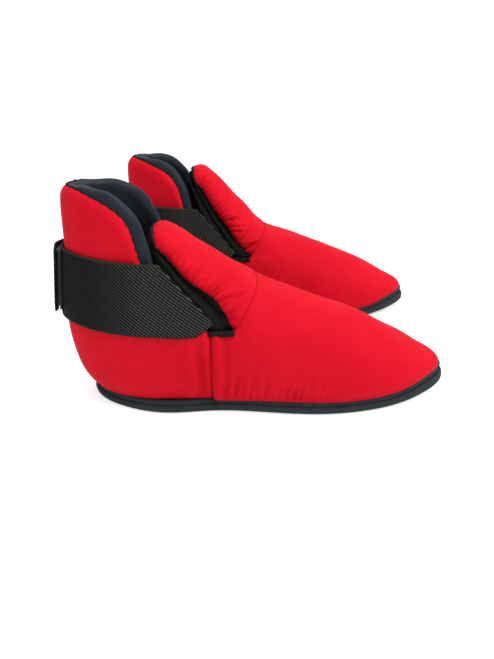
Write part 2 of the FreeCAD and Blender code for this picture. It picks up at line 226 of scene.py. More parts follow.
# ---------------------------------------------------------------- boots and meshes
class Boot:
    """Where one boot stands, worked out from its tongue's hinge in the frame, and its own shape."""

    def __init__(self, side):
        joints = {joint["name"]: joint for joint in frame["joints"]}
        self.side = side
        self.mirror = -1.0 if side == "left" else 1.0
        self.tongue_hinge = joints[side + "_tongue_lift"]
        self.strap_hinge = joints[side + "_strap_open"]
        axis = self.tongue_hinge["axis"]
        self.yaw = math.atan2(-axis[0], axis[1])
        self.origin = np.array(self.tongue_hinge["pos_m"]) - self.turn(INSTEP) / 1000
        vars(self).update(BOOT_SHAPES[side])

    def turn(self, points):
        c, s = math.cos(self.yaw), math.sin(self.yaw)
        x, y, z = points[..., 0], points[..., 1] * self.mirror, points[..., 2]
        return np.stack([c * x - s * y, s * x + c * y, z], axis=-1)

    def place(self, points):
        """Boot frame, mm, to the frame of the pair, m. The front of the boot lifts a little on the way."""
        points = np.array(points, float)
        lift = smooth_step(TOE_SPRING_FROM, TOE_SPRING_TO, points[..., 0]) ** TOE_SPRING_CURVE
        points[..., 2] += self.toe_spring * lift
        return self.turn(points) / 1000 + self.origin

    def name(self, part):
        return self.side + "_" + part

    def pick(self, right, left):
        """The first value on the right boot, the second on the left one."""
        return left if self.side == "left" else right


MERGE_DISTANCE = 2e-5
DEGENERATE_LENGTH = 1e-6


def make_object(boot, name, points, faces, material, uvs=None):
    """A smooth-shaded mesh piece from boot-frame points; the left boot's faces are flipped over."""
    if boot.mirror < 0:
        faces = [tuple(reversed(face)) for face in faces]
    mesh = bpy.data.meshes.new(boot.name(name))
    mesh.from_pydata(boot.place(points).tolist(), [], faces)
    if uvs is not None:
        layer = mesh.uv_layers.new(name="UVMap")
        corners = np.zeros(len(mesh.loops), np.int32)
        mesh.loops.foreach_get("vertex_index", corners)
        layer.data.foreach_set("uv", np.asarray(uvs, np.float32)[corners].ravel())
    work = bmesh.new()
    work.from_mesh(mesh)
    bmesh.ops.remove_doubles(work, verts=work.verts, dist=MERGE_DISTANCE)
    bmesh.ops.dissolve_degenerate(work, edges=work.edges, dist=DEGENERATE_LENGTH)
    bmesh.ops.recalc_face_normals(work, faces=work.faces)
    work.to_mesh(mesh)
    work.free()
    mesh.shade_smooth()
    piece = bpy.data.objects.new(boot.name(name) + "_piece", mesh)
    bpy.context.scene.collection.objects.link(piece)
    mesh.materials.append(material)
    return piece


def grid_faces(rows, columns, close_rows=False, close_columns=False, first=0):
    """Quads over a grid of rows by columns whose points are numbered row by row."""
    faces = []
    for i in range(rows if close_rows else rows - 1):
        for j in range(columns if close_columns else columns - 1):
            here, above = first + i * columns, first + (i + 1) % rows * columns
            after = (j + 1) % columns
            faces.append((here + j, here + after, above + after, above + j))
    return faces


def sheet_solid(outer, inner):
    """A closed solid between two grids of the same size: points and faces."""
    rows, columns = outer.shape[:2]
    count = rows * columns
    points = np.concatenate([outer.reshape(-1, 3), inner.reshape(-1, 3)])
    faces = grid_faces(rows, columns)
    faces += [tuple(reversed(face)) for face in grid_faces(rows, columns, first=count)]
    rim = [(0, j) for j in range(columns)] + [(i, columns - 1) for i in range(1, rows)]
    rim += [(rows - 1, j) for j in range(columns - 2, -1, -1)] + [(i, 0) for i in range(rows - 2, 0, -1)]
    rim = [i * columns + j for i, j in rim]
    for a, b in zip(rim, rim[1:] + rim[:1]):
        faces.append((b, a, a + count, b + count))
    return points, faces


def ring_solid(grid):
    """A closed tube: the grid's rows go round it and its columns run along it; both ends are capped."""
    rows, columns = grid.shape[:2]
    faces = grid_faces(rows, columns, close_rows=True)
    faces.append(tuple(i * columns for i in range(rows)))
    faces.append(tuple(i * columns + columns - 1 for i in reversed(range(rows))))
    return grid.reshape(-1, 3), faces


def tube(path, across, up, half_width, half_height, sides=8):
    """A tube of oval section along a path; across and up are unit vectors at each point of the path."""
    across = across * np.broadcast_to(half_width, len(path))[:, None]
    up = up * np.broadcast_to(half_height, len(path))[:, None]
    turns = np.arange(sides) * 2 * math.pi / sides
    return ring_solid(np.stack([path + across * math.cos(t) + up * math.sin(t) for t in turns]))


def resampled(path, step):
    """The same polyline with points about step apart, evenly spaced."""
    path = np.asarray(path, float)
    lengths = lengths_along(path)
    count = max(2, int(round(lengths[-1] / step)) + 1)
    at = np.linspace(0, lengths[-1], count)
    return np.stack([np.interp(at, lengths, column) for column in path.T], axis=1)


# ---------------------------------------------------------------- materials
class Look:
    """A procedural material while it is put together."""

    def __init__(self, name, base, roughness, sheen=0.0, sheen_tint=(1, 1, 1), specular=0.5):
        self.made = bpy.data.materials.new(name)
        self.made.use_nodes = True
        self.tree = self.made.node_tree
        self.shader = self.tree.nodes["Principled BSDF"]
        self.put("Base Color", (*base, 1))
        self.put("Roughness", roughness)
        self.put("Sheen Weight", sheen)
        self.put("Sheen Roughness", 0.45)
        self.put("Sheen Tint", (*sheen_tint, 1))
        self.put("Specular IOR Level", specular)

    def fill(self, socket, value):
        """Sets a socket to a plain value, or links it to another node's output."""
        if isinstance(value, bpy.types.NodeSocket):
            self.tree.links.new(value, socket)
        else:
            socket.default_value = value

    def put(self, name, value):
        self.fill(self.shader.inputs[name], value)

    def node(self, kind, output, inputs, **settings):
        """One output of a new node whose inputs are filled by name or number."""
        made = self.tree.nodes.new("ShaderNode" + kind)
        for key, value in settings.items():
            setattr(made, key, value)
        for key, value in inputs.items():
            self.fill(made.inputs[key], value)
        return made.outputs[output]

    def place(self):
        """Object coordinates in millimetres, so that weaves keep their real size."""
        found = self.node("TexCoord", "Object", {})
        return self.node("Mapping", "Vector", {"Vector": found, "Scale": (1000, 1000, 1000)})

    def along_strap(self, angle=0.0):
        """A strap's own coordinates, mm along it and across it, turned by an angle."""
        found = self.node("TexCoord", "UV", {})
        return self.node("Mapping", "Vector", {"Vector": found, "Rotation": (0, 0, angle)})

    def noise(self, place, scale, detail=2.0, roughness=0.5):
        inputs = {"Vector": place, "Scale": scale, "Detail": detail, "Roughness": roughness}
        return self.node("TexNoise", "Fac", inputs)

    def wave(self, angle, scale, distortion, **more):
        """Evenly spaced ridges across a strap's coordinates turned by an angle."""
        inputs = {"Vector": self.along_strap(angle), "Scale": scale, "Distortion": distortion, **more}
        return self.node("TexWave", "Fac", inputs, wave_profile="SIN")

    def cells(self, place, scale, **more):
        inputs = {"Vector": place, "Scale": scale, **more}
        return self.node("TexVoronoi", "Distance", inputs, feature="F1")

    def ramp(self, value, stops):
        """A colour ramp over stops of place and colour, or of place and brightness for plain grey."""
        stops = [(place, shade if isinstance(shade, tuple) else (shade,) * 3) for place, shade in stops]
        colour = self.node("ValToRGB", "Color", {"Fac": value})
        elements = colour.node.color_ramp.elements
        for element, (place, shade) in zip(elements, (stops[0], stops[-1])):
            element.position = place
            element.color = (*shade, 1)
        for place, shade in stops[1:-1]:
            elements.new(place).color = (*shade, 1)
        return colour

    def math(self, operation, a, b):
        return self.node("Math", "Value", {0: a, 1: b}, operation=operation)

    def mixed(self, share, a, b):
        """Colour a where share is 0, colour b where it is 1."""
        return self.node("Mix", 2, {"Factor": share, 6: a, 7: b}, data_type="RGBA")

    def bump(self, height, distance, strength=1.0, **before):
        inputs = {"Height": height, "Distance": distance, "Strength": strength, **before}
        normal = self.node("Bump", "Normal", inputs)
        self.put("Normal", normal)
        return normal


def red_cloth():
    """Close-woven napped cloth: a fine grain, a few percent of colour drift, a soft sheen."""
    look = Look("red_cloth", (0.45, 0.004, 0.013), 0.82, 0.015, (1.0, 0.25, 0.28), 0.04)
    place = look.place()
    grain = look.noise(place, 1.1, 3.0, 0.6)
    drift = look.noise(place, 0.03)
    fine = look.ramp(grain, [(0.30, (0.39, 0.002, 0.009)), (0.70, (0.53, 0.005, 0.016))])
    wide = look.ramp(drift, [(0.35, (0.42, 0.003, 0.011)), (0.65, (0.50, 0.005, 0.015))])
    look.put("Base Color", look.mixed(look.math("MULTIPLY", grain, 0.9), fine, wide))
    look.put("Roughness", look.ramp(grain, [(0.2, 0.66), (0.8, 0.82)]))
    first = look.bump(grain, 0.00022, 0.55)
    look.bump(look.noise(place, 0.16), 0.0009, 0.35, Normal=first)
    return look.made


def black_lining(name, shade, roughness, specular):
    """Smooth brushed lining cloth; shade is its middle colour."""
    look = Look(name, shade, roughness, specular=specular)
    place = look.place()
    grain = look.noise(place, 1.4, 2.0, 0.6)
    drift = look.noise(place, 0.05)
    dark, deep, pale, light = (tuple(np.array(shade) * share) for share in (0.65, 0.8, 1.3, 1.45))
    fine = look.ramp(grain, [(0.3, dark), (0.7, light)])
    look.put("Base Color", look.mixed(grain, fine, look.ramp(drift, [(0.3, deep), (0.7, pale)])))
    look.put("Roughness", look.ramp(drift, [(0.3, roughness - 0.07), (0.7, roughness + 0.06)]))
    first = look.bump(grain, 0.00012, 0.4)
    look.bump(look.noise(place, 0.10), 0.0012, 0.4, Normal=first)
    return look.made


def knit(name, dark, light, size):
    """Knitted edging or folded tape: short raised stitches, with painted shade darkening the colour between
    them.
    """
    look = Look(name, dark, 0.8, specular=0.08)
    place = look.place()
    raised = look.math("SUBTRACT", 1.0, look.cells(place, 1 / size))
    drift = look.noise(place, 0.12, 3.0)
    # painted shade: the colour darkens between the raised stitches, with a random drift in tone
    shade = look.math("MULTIPLY", raised, look.math("ADD", drift, 0.45))
    look.put("Base Color", look.ramp(shade, [(0.25, dark), (0.95, light)]))
    look.put("Roughness", look.ramp(drift, [(0.3, 0.70), (0.7, 0.86)]))
    look.bump(raised, size * 0.00035, 0.8)
    return look.made


def webbing():
    """Twill webbing: diagonal ribs with a painted highlight on their crests and painted shade in their
    grooves, both softening along the strap, and pale selvedges.
    """
    look = Look("webbing", (0.008, 0.0075, 0.006), 0.72, specular=0.06)
    ribs = look.wave(RIB_ANGLE, RIB_RATE, 0.35, **{"Detail": 1.0, "Detail Scale": 2.0})
    threads = look.wave(math.pi / 2 - RIB_ANGLE / 2, THREAD_RATE, 0.6)
    across = look.node("SeparateXYZ", "Y", {"Vector": look.along_strap()})
    past = look.math("SUBTRACT", across.node.outputs["X"], RIBS_FADE_FROM)
    plain = look.math("MULTIPLY", past, RIBS_FADE_RATE)
    plain = look.node("Clamp", "Result", {"Value": plain, "Min": 0.0, "Max": 0.8})
    height = look.math("MULTIPLY", ribs, look.math("SUBTRACT", 1.0, plain))
    height = look.math("ADD", height, look.math("MULTIPLY", threads, 0.35))
    off_middle = look.math("ABSOLUTE", look.math("SUBTRACT", across, STRAP_WIDTH / 2), 0.0)
    edge = look.math("GREATER_THAN", off_middle, STRAP_WIDTH / 2 - SELVEDGE)
    # painted highlight and shade: the colour follows the ribs' height, pale on the crests and dark in the
    # grooves
    look.put("Base Color", look.mixed(edge, look.ramp(height, RIB_HIGHLIGHT_AND_SHADE), SELVEDGE_SHADE))
    look.bump(height, 0.0008, 0.9)
    return look.made


def outsole_rubber():
    """Matt grip sheet with small raised dots."""
    look = Look("outsole", (0.012, 0.012, 0.013), 0.8)
    place = look.place()
    raised = look.ramp(look.cells(place, 0.28, Randomness=0.0), [(0.28, 1), (0.36, 0)])
    wear = look.noise(place, 0.08, 3.0)
    shade = look.ramp(wear, [(0.3, (0.010, 0.010, 0.011)), (0.7, (0.024, 0.024, 0.025))])
    look.put("Base Color", shade)
    look.bump(raised, 0.0006, 0.9)
    return look.made


def loop_pile():
    """Hook and loop pile: a dense fuzz."""
    look = Look("hook_and_loop", (0.012, 0.012, 0.012), 0.95, 0.4)
    fuzz = look.noise(look.place(), 2.2, 4.0, 0.8)
    look.put("Base Color", look.ramp(fuzz, [(0.3, 0.006), (0.7, 0.03)]))
    look.bump(fuzz, 0.0005)
    return look.made


def floor_white():
    """White paper that glows a little, so that it stays white next to the boots."""
    look = Look("floor", (0.6, 0.6, 0.6), 0.9)
    look.put("Base Color", look.ramp(look.noise(look.place(), 0.02), [(0.2, 0.59), (0.8, 0.61)]))
    look.put("Emission Color", (1, 1, 1, 1))
    look.put("Emission Strength", 0.55)
    return look.made


SELVEDGE = 1.1
SELVEDGE_SHADE = (0.026, 0.022, 0.016, 1)
RIB_ANGLE = math.radians(52)
RIB_RATE = 0.17
THREAD_RATE = 0.5
RIBS_FADE_FROM = 62.0
RIBS_FADE_RATE = 0.012
# Colours by rib height: painted shade in the grooves, a painted highlight on the crests.
RIB_HIGHLIGHT_AND_SHADE = [
    (0.35, (0.0032, 0.0031, 0.0026)), (0.78, (0.0095, 0.0092, 0.0078)), (1.0, (0.056, 0.058, 0.053)),
]

RED = red_cloth()
LINING = black_lining("black_lining", (0.0078, 0.0118, 0.0168), 0.5, 0.12)
# The tongue's lining: a darker copy of the same lining cloth, painted shade for the tongue's shaded walls,
# and less glossy.
SHADED_TONGUE_LINING = black_lining("tongue_lining", (0.0045, 0.0045, 0.004), 0.7, 0.06)
# In each knit the first colour is the painted shade between the stitches, the second the stitch tops.
EDGING = knit("edging", (0.003, 0.0032, 0.003), (0.016, 0.017, 0.016), 0.9)
BINDING = knit("binding", (0.0145, 0.0190, 0.0210), (0.031, 0.041, 0.045), 0.55)
BOARD = knit("board", (0.03, 0.03, 0.03), (0.07, 0.07, 0.07), 0.8)
INSOLE = knit("insole", (0.015, 0.016, 0.018), (0.04, 0.042, 0.046), 0.7)
THREAD = knit("thread", (0.008, 0.008, 0.008), (0.03, 0.03, 0.03), 0.35)
WEBBING = webbing()
OUTSOLE = outsole_rubber()
PILE = loop_pile()
FLOOR = floor_white()


# ---------------------------------------------------------------- heel cup
CUP_FRONT_RATE = 110.0
CUP_FRONT = 1 + (SIDE_SEAM_X - CUP_ROUND_FROM) / CUP_FRONT_RATE
CUP_COLUMNS = 231
CUP_ROWS = 72
SHOULDER = 7.5
SHOULDER_DIP = 3.0
SHOULDER_INSET = 0.8
RIM_LIFT = 0.8
RIM_SIDE_LIFT = 6.2


def round_heel(turn, back, width):
    """x and y at a turn round the heel: a rounded back, and straight sides in front of CUP_ROUND_FROM."""
    around = np.abs(turn)
    angle = np.clip(around, 0, 1) * math.pi / 2
    round_x = CUP_ROUND_FROM - (CUP_ROUND_FROM - back) * np.cos(angle)
    x = np.where(around <= 1, round_x, CUP_ROUND_FROM + CUP_FRONT_RATE * (around - 1))
    return x, np.sign(turn) * width * np.sin(angle) ** CUP_SHARPNESS


def cup_level(z):
    """The cup's rearmost x and its half width at height z."""
    heights, backs, widths = np.array(CUP_LEVELS).T
    return spline(heights, backs, z), spline(heights, widths, z)


def cup_point(turn, z):
    """The cup's outer surface: turn runs round it, 0 at the back, CUP_FRONT at the medial side seam."""
    x, y = round_heel(turn, *cup_level(z))
    return np.stack([x, y, z + 0 * x], axis=-1)


def cup_turn(x, z):
    """The turn at which the cup's surface is at x."""
    if x >= CUP_ROUND_FROM:
        return 1 + (x - CUP_ROUND_FROM) / CUP_FRONT_RATE
    back = float(cup_level(z)[0])
    return math.acos(min(1.0, (CUP_ROUND_FROM - x) / (CUP_ROUND_FROM - back))) * 2 / math.pi


def cup_edge(boot, columns):
    """Turn and height of the cup's top edge, from column -1 at the lateral seam to 1 at the medial one."""
    half = [(cup_turn(x, z), z + boot.cup_raise * float(smooth_step(70, 125, z))) for x, z in CUP_EDGE]
    turns, heights = np.array([(-turn, z) for turn, z in reversed(half)] + half).T
    lengths = lengths_along(cup_point(turns, heights))
    place = 2 * lengths / lengths[-1] - 1
    return spline(place, turns, columns), spline(place, heights, columns)


def inset_edge(boot, columns):
    """The cup's top edge moved in by SHOULDER_INSET, and the direction that leads past it."""
    edge_turn, edge_z = cup_edge(boot, columns)
    edge = cup_point(edge_turn, edge_z)
    step = 1e-3
    by_turn = (cup_point(edge_turn + step, edge_z) - cup_point(edge_turn - step, edge_z)) / (2 * step)
    by_z = (cup_point(edge_turn, edge_z + 0.1) - cup_point(edge_turn, edge_z - 0.1)) / 0.2
    normal = unit(np.cross(by_turn, by_z))
    past = unit(np.cross(normal, unit(np.gradient(edge, axis=0))))
    upright = smooth_step(0.93, 1.0, np.abs(columns))[:, None]
    past = unit(past * (1 - upright) + unit(by_z) * upright)
    pairs = ((by_turn, by_turn), (by_turn, by_z), (by_z, by_z), (past, by_turn), (past, by_z))
    a, b, c, p, q = ((u * v).sum(1) for u, v in pairs)
    determinant = a * c - b * b
    turn = edge_turn - SHOULDER_INSET * (c * p - b * q) / determinant
    return turn, edge_z - SHOULDER_INSET * (a * q - b * p) / determinant, past


def cup_frame(boot):
    """The cup's outer wall as a grid, its normals and the direction that leads past its top edge."""
    columns = np.linspace(-1, 1, CUP_COLUMNS)
    top_turn, top_z, past = inset_edge(boot, columns)
    base_turn = CUP_FRONT * spline([-1, -0.42, 0, 0.42, 1], [-1, -0.56, 0, 0.56, 1], columns)
    r = np.linspace(0, 1, CUP_ROWS)[:, None]
    turn = base_turn * (1 - r) + top_turn * r
    z = UPPER_BASE * (1 - r) + top_z * r
    wall = cup_point(turn, z)
    at_back = 1 - smooth_step(2, 60, wall[..., 0])
    wall[..., 0] -= boot.cup_lean * smooth_step(82, 112, wall[..., 2]) * at_back
    outward = wall * [1, 1, 0] - [CUP_ROUND_FROM, 0, 0]
    return columns, wall, facing(normals_of(wall), outward), past, r


def cup_relief(boot, columns, wall, r):
    """How far the cup's cloth stands proud: rounding, seam groove, soft folds, gathers at the front."""
    z = wall[..., 2]
    from_top = (1 - r) * np.linalg.norm(wall[-1] - wall[0], axis=1)
    dip = -SHOULDER_DIP * np.clip(1 - from_top / SHOULDER, 0, 1) ** 2
    to_seam = SIDE_SEAM_X - wall[..., 0]
    low = 1 - smooth_step(30, 75, z)
    ridges = 0.9 * hump(3.0, 2.0, to_seam) + 1.4 * low * hump(14.5, 4.5, to_seam)
    crease = 2.6 * low * hump(8.0, 2.4, to_seam + 1.6 * np.sin(z / 14.0))
    relief = dip - 1.6 * np.exp(-(to_seam / 1.2) ** 1.4) + (ridges - crease) * smooth_step(8, 15, z)
    edge_wave = waviness(boot.pick(31, 57), 5, 14, 30)
    near_edge = np.exp(-from_top / 6.0) * smooth_step(0.25, 0.6, np.abs(columns))
    relief = relief + 0.55 * near_edge * edge_wave(columns + 0.25 * r)
    slow = waviness(boot.pick(8, 9), 4, 1.0, 3.0)
    relief = relief + 0.5 * slow(columns * 1.3 + z / 160) * smooth_step(8, 25, z)
    return relief - 0.6 * np.clip(1 - (z - UPPER_BASE) / 7.0, 0, 1) ** 2


def heel_cover(boot, columns, wall, normal, past, relief):
    """The red cloth of the cup, and the scalloped line along its top where it is sewn."""
    outer = wall + normal * relief
    scallop = 0.45 * waviness(boot.pick(77, 78), 4, 18, 34)(columns)[:, None]
    outer[-1] += past * (scallop + 0.4)
    outer[-2] += past * scallop * 0.5
    inner = wall + normal * (relief - CLOTH)
    inner[-1] = outer[-1] - normal[-1] * CLOTH
    outer[-1] -= normal[-1] * 0.45
    cover = make_object(boot, "heel_cover", *sheet_solid(outer, inner), RED)
    return cover, wall[-1] + past * (scallop + 0.1) - normal[-1] * (SHOULDER_DIP + 0.7)


def heel_lining(boot, columns, wall, normal, past, relief):
    """The padded lining: up behind the cloth, over the top as a soft roll, and down the inside."""
    radius = (PAD_DEPTH - SHOULDER_DIP) / 2
    crumple = waviness(boot.pick(5, 6), 5, 3, 9)(columns)[:, None]
    around = np.abs(columns)
    sides = smooth_step(0.06, 0.3, around) * (1 - smooth_step(0.6, 0.85, around))
    lift = (RIM_LIFT + RIM_SIDE_LIFT * sides)[:, None]
    behind = [wall[i] + normal[i] * (relief[i] - CLOTH - 0.3) for i in range(0, CUP_ROWS - 1, 3)]
    over = [
        wall[-1] + past * math.sin(angle) * (lift + 0.7 * crumple)
        - normal[-1] * (SHOULDER_DIP + 0.5 + radius * (1 - math.cos(angle)))
        for angle in np.linspace(0, math.pi, 13)
    ]
    inside = []
    slow = waviness(boot.pick(15, 16), 4, 0.8, 2.4)
    for i in range(CUP_ROWS - 3, -1, -3):
        soft = 0.8 * slow(columns + 0.3 * i / CUP_ROWS)[:, None]
        full = PAD_DEPTH + 1.2 * math.sin(math.pi * min(1, (CUP_ROWS - 1 - i) / 14)) + soft
        inside.append(wall[i] - normal[i] * full)
    grid = np.stack(behind + over + list(eased_at_back(np.stack(inside), columns)))
    return make_object(boot, "heel_lining", *ring_solid(grid[:, ::2]), LINING)


def heel_pieces(boot):
    columns, wall, normal, past, r = cup_frame(boot)
    relief = cup_relief(boot, columns, wall, r)[..., None]
    cover, seam_line = heel_cover(boot, columns, wall, normal, past, relief)
    pad = heel_lining(boot, columns, wall, normal, past, relief)
    edging = overlock(boot, "heel_edging", seam_line, past, normal[-1], 1.1, 0.5)
    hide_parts(boot.name("heel_cover"), boot.name("heel_foam"))
    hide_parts(boot.name("heel_lining"))
    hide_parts(boot.name("heel_edging"))
    return [(cover, "red_cloth"), (pad, "black_lining"), (edging, "edging")]


def eased_at_back(rows, columns):
    """Rows of the inner wall with their tight turn at the back of the heel rounded out."""
    reach = 24
    weights = hump(0.0, 11.0, np.arange(-reach, reach + 1))
    weights = weights / weights.sum()
    padded = np.pad(rows, ((0, 0), (reach, reach), (0, 0)), mode="edge")
    smooth = np.apply_along_axis(np.convolve, 1, padded, weights, mode="valid")
    near_back = hump(0.0, 0.32, columns)[None, :, None]
    return rows * (1 - near_back) + smooth * near_back


def overlock(boot, name, line, across, up, half_width, half_height):
    """A knitted strip along a seam, with a slightly uneven edge where its thread wraps over."""
    beat = np.arange(len(line))
    wrap = 1 + 0.10 * np.sin(beat * 2 * math.pi / 3.2) + 0.10 * waviness(3, 4, 5, 12)(beat / len(line))
    points, faces = tube(line, across, up, half_width * wrap, half_height * wrap)
    return make_object(boot, name, points, faces, EDGING)


# ---------------------------------------------------------------- vamp
VAMP_COLUMNS = 221
CORNER_ANGLES = (25.4, 30.6)
LINED_COLUMNS = 170


def vamp_place(x):
    """A parameter that runs evenly along the vamp and slows down at its nose."""
    start, end = VAMP_STATIONS[0][0], VAMP_STATIONS[-1][0]
    return np.arcsin(np.clip((np.asarray(x, float) - start) / (end - start), 0, 1)) * 2 / math.pi


def vamp_point(place, angle):
    """The vamp's outer surface, lateral side: angle is 90 at the crown, 0 at the widest, -90 below."""
    stations = np.array(VAMP_STATIONS)
    start, end = stations[0, 0], stations[-1, 0]
    knots = vamp_place(stations[:, 0])
    base, widest, widest_z, crown, square = (spline(knots, column, place) for column in stations.T[1:])
    x = start + (end - start) * np.sin(place * math.pi / 2)
    t = np.radians(angle)
    above = np.clip(t, 0, math.pi / 2)
    below = np.clip(-t, 0, math.pi / 2)
    y_above = widest * np.maximum(np.cos(above), 0) ** np.clip(square, 0.3, 1.2)
    y_below = base + (widest - base) * np.cos(below) ** 0.8
    z_above = widest_z + (crown - widest_z) * np.sin(above)
    z_below = widest_z - (widest_z - UPPER_BASE) * np.sin(below)
    z = np.where(t >= 0, z_above, z_below)
    return np.stack([x + 0 * z, np.where(t >= 0, y_above, y_below), z], axis=-1)


def seam_x(z):
    """Where the instep seam is at height z."""
    return INSTEP[0] + (z - INSTEP[2]) * math.tan(TONGUE_TILT)


def in_throat(place, angles):
    """Whether points of the vamp's full surface lie in the throat's cut-out, under the tongue."""
    points = vamp_point(place, angles)
    return (points[..., 2] > THROAT_Z) & (points[..., 0] < seam_x(points[..., 2]))


def vamp_start(angles):
    """The places along the vamp where the rows at these angles leave the throat's cut-out."""
    angles = np.asarray(angles, float)
    low = np.zeros(angles.shape)
    high = np.full(angles.shape, float(vamp_place(INSTEP[0] + 2)))
    cut = in_throat(low, angles)
    for _ in range(40):
        middle = (low + high) / 2
        inside = in_throat(middle, angles)
        low = np.where(inside, middle, low)
        high = np.where(inside, high, middle)
    return np.where(cut, high, 0.0)


def vamp_angles():
    """Angles of the rows from the lateral base over the crown to the medial base, as (angle, side)."""
    below = np.linspace(-90, 0, 14)[:-1]
    to_corner = np.linspace(0, CORNER_ANGLES[0], 15)[:-1]
    along_throat = np.linspace(*CORNER_ANGLES, 6)[:-1]
    to_crown = np.linspace(CORNER_ANGLES[1], 90, 26)
    half = np.concatenate([below, to_corner, along_throat, to_crown])
    return [(a, -1) for a in half] + [(a, 1) for a in half[-2::-1]]


def vamp_grid():
    """The vamp's outer surface as a grid, its normals, and each row's angle and side."""
    angles = vamp_angles()
    starts = vamp_start([angle for angle, _ in angles])
    rows = []
    for start, (angle, side) in zip(starts, angles):
        place = start + (1 - start) * np.linspace(0, 1, VAMP_COLUMNS)
        rows.append(vamp_point(place, angle) * [1, side, 1])
    grid = np.stack(rows)
    grid[..., 2] += toe_rise(grid[..., 0]) * (1 - smooth_step(10, 32, grid[..., 2]))
    normal = facing(normals_of(grid), grid * [0, 1, 1] - [0, 0, 4.0])
    normal[:, -1] = [1.0, 0, 0]
    return grid, normal, angles


def vamp_gathers(boot, x, y, z):
    """Uneven gathers that rise from the vamp's foot, each drawn from the seed of its side."""
    relief = np.zeros(x.shape)
    for side, seed in ((-1, boot.pick(100, 200)), (1, boot.pick(101, 201))):
        draw = np.random.default_rng(seed)
        place = 103.0
        while place < 178:
            wide = draw.uniform(1.0, 1.8)
            tall = draw.uniform(20, 34)
            strength = draw.uniform(0.9, 2.6) * (1 - smooth_step(150, 180, place) * 0.8)
            slant = draw.uniform(-0.05, 0.22)
            fade = (1 - smooth_step(tall * 0.35, tall, z - UPPER_BASE)) * smooth_step(8, 13, z)
            fade = fade * strength * (np.sign(y) == side)
            crest = place + slant * (z - 10)
            relief += fade * (0.5 * hump(crest + wide * 1.9, wide, x) - hump(crest, wide, x))
            place += wide * draw.uniform(2.6, 3.9)
    return relief


def vamp_relief(boot, grid, gathered=True):
    """Edge rounding, seam grooves, gathers above the sole and folds near the throat's corners."""
    x, y, z = grid[..., 0], grid[..., 1], grid[..., 2]
    to_side_seam = x - SIDE_SEAM_X
    seam_low = 1 - smooth_step(THROAT_Z - 1, THROAT_Z + 8, z)
    folds = 1.7 * hump(4.5, 2.6, to_side_seam) - 1.4 * hump(10.0, 2.6, to_side_seam)
    seam = -1.6 * np.exp(-(np.maximum(to_side_seam, 0) / 1.2) ** 1.4)
    relief = seam_low * (seam + folds * smooth_step(8, 15, z))
    to_instep = (x - seam_x(z)) * math.cos(TONGUE_TILT)
    seam_high = smooth_step(THROAT_Z - 3, THROAT_Z + 3, z)
    groove = 0.8 * np.exp(-(np.maximum(to_instep, 0) / 0.9) ** 1.3)
    relief = relief - seam_high * (groove + boot.instep_dip * hump(0.0, INSTEP_DIP_REACH, to_instep))
    at_throat = smooth_step(THROAT_Z - 9, THROAT_Z, z) * (1 - smooth_step(112, 124, x))
    relief = relief - 1.8 * ((1 - seam_high) * at_throat) ** 2
    if not gathered:
        return relief - 2.6 * (1 - smooth_step(20, 45, z)) * (1 - smooth_step(170, 200, x))
    slow = waviness(boot.pick(105, 205), 5, 0.6, 1.8)
    drift = 0.7 * slow(x / 70 + y / 90) * smooth_step(8, 30, z) * (1 - smooth_step(225, 258, x))
    tuck = 0.6 * np.clip(1 - (z - UPPER_BASE) / 6.0, 0, 1) ** 2 * (1 - smooth_step(236, 256, x))
    return relief + vamp_gathers(boot, x, y, z) + drift - tuck


def vamp_pieces(boot):
    grid, normal, angles = vamp_grid()
    x = grid[..., 0, None]
    relief = vamp_relief(boot, grid)
    outer = grid + normal * relief[..., None]
    inner = outer - normal * CLOTH * np.maximum(1 - smooth_step(238, 262, x), 0.25)
    inner[:, -1] = inner[:, -1].mean(axis=0)
    outer[:, -1, :2] = outer[:, -1, :2].mean(axis=0)
    cover = make_object(boot, "vamp_cover", *sheet_solid(outer, inner), RED)

    pick = np.ix_(np.arange(0, len(grid), 2), np.arange(0, LINED_COLUMNS, 3))
    plain = np.minimum(vamp_relief(boot, grid, gathered=False), relief)[..., None]
    under = (grid + normal * (plain - CLOTH - 0.5))[pick]
    inside = (grid - normal * PAD_DEPTH * (1 - 0.45 * smooth_step(190, 240, x)))[pick]
    inside[..., 2] = np.maximum(inside[..., 2], UPPER_BASE)
    pad = make_object(boot, "vamp_lining", *sheet_solid(under, inside), LINING)

    edges = (throat_edge_line(grid, normal, angles, side) for side in (-1, 1))
    points, faces = joined([tube(*edge, 1.5, 2.3, 10) for edge in edges])
    edging = make_object(boot, "throat_edging", points, faces, EDGING)
    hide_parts(boot.name("vamp_cover"), boot.name("vamp_foam"))
    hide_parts(boot.name("vamp_lining"))
    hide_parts(boot.name("throat_edging"))
    return [(cover, "red_cloth"), (pad, "black_lining"), (edging, "edging")]


def throat_edge_line(grid, normal, angles, side):
    """The bound edge along the throat's bottom, from the side seam to the foot of the instep seam."""
    low, high = CORNER_ANGLES
    rows = [i for i, (a, s) in enumerate(angles) if s == side and low - 0.5 <= a <= high + 0.5]
    rows = rows[::-1] if side > 0 else rows
    line = resampled(grid[rows, 0] - normal[rows, 0] * 0.5, 1.2)
    line[:, 2] += -1.2 + 0.4 * np.sin(np.arange(len(line)) * 2.1)
    return line, np.tile([0.0, side, 0.0], (len(line), 1)), np.tile([0.0, 0.0, 1.0], (len(line), 1))


def joined(parts):
    """Several closed solids as one set of points and faces."""
    faces = []
    first = 0
    for points, part_faces in parts:
        faces += [tuple(first + i for i in face) for face in part_faces]
        first += len(points)
    return np.concatenate([points for points, _ in parts]), faces


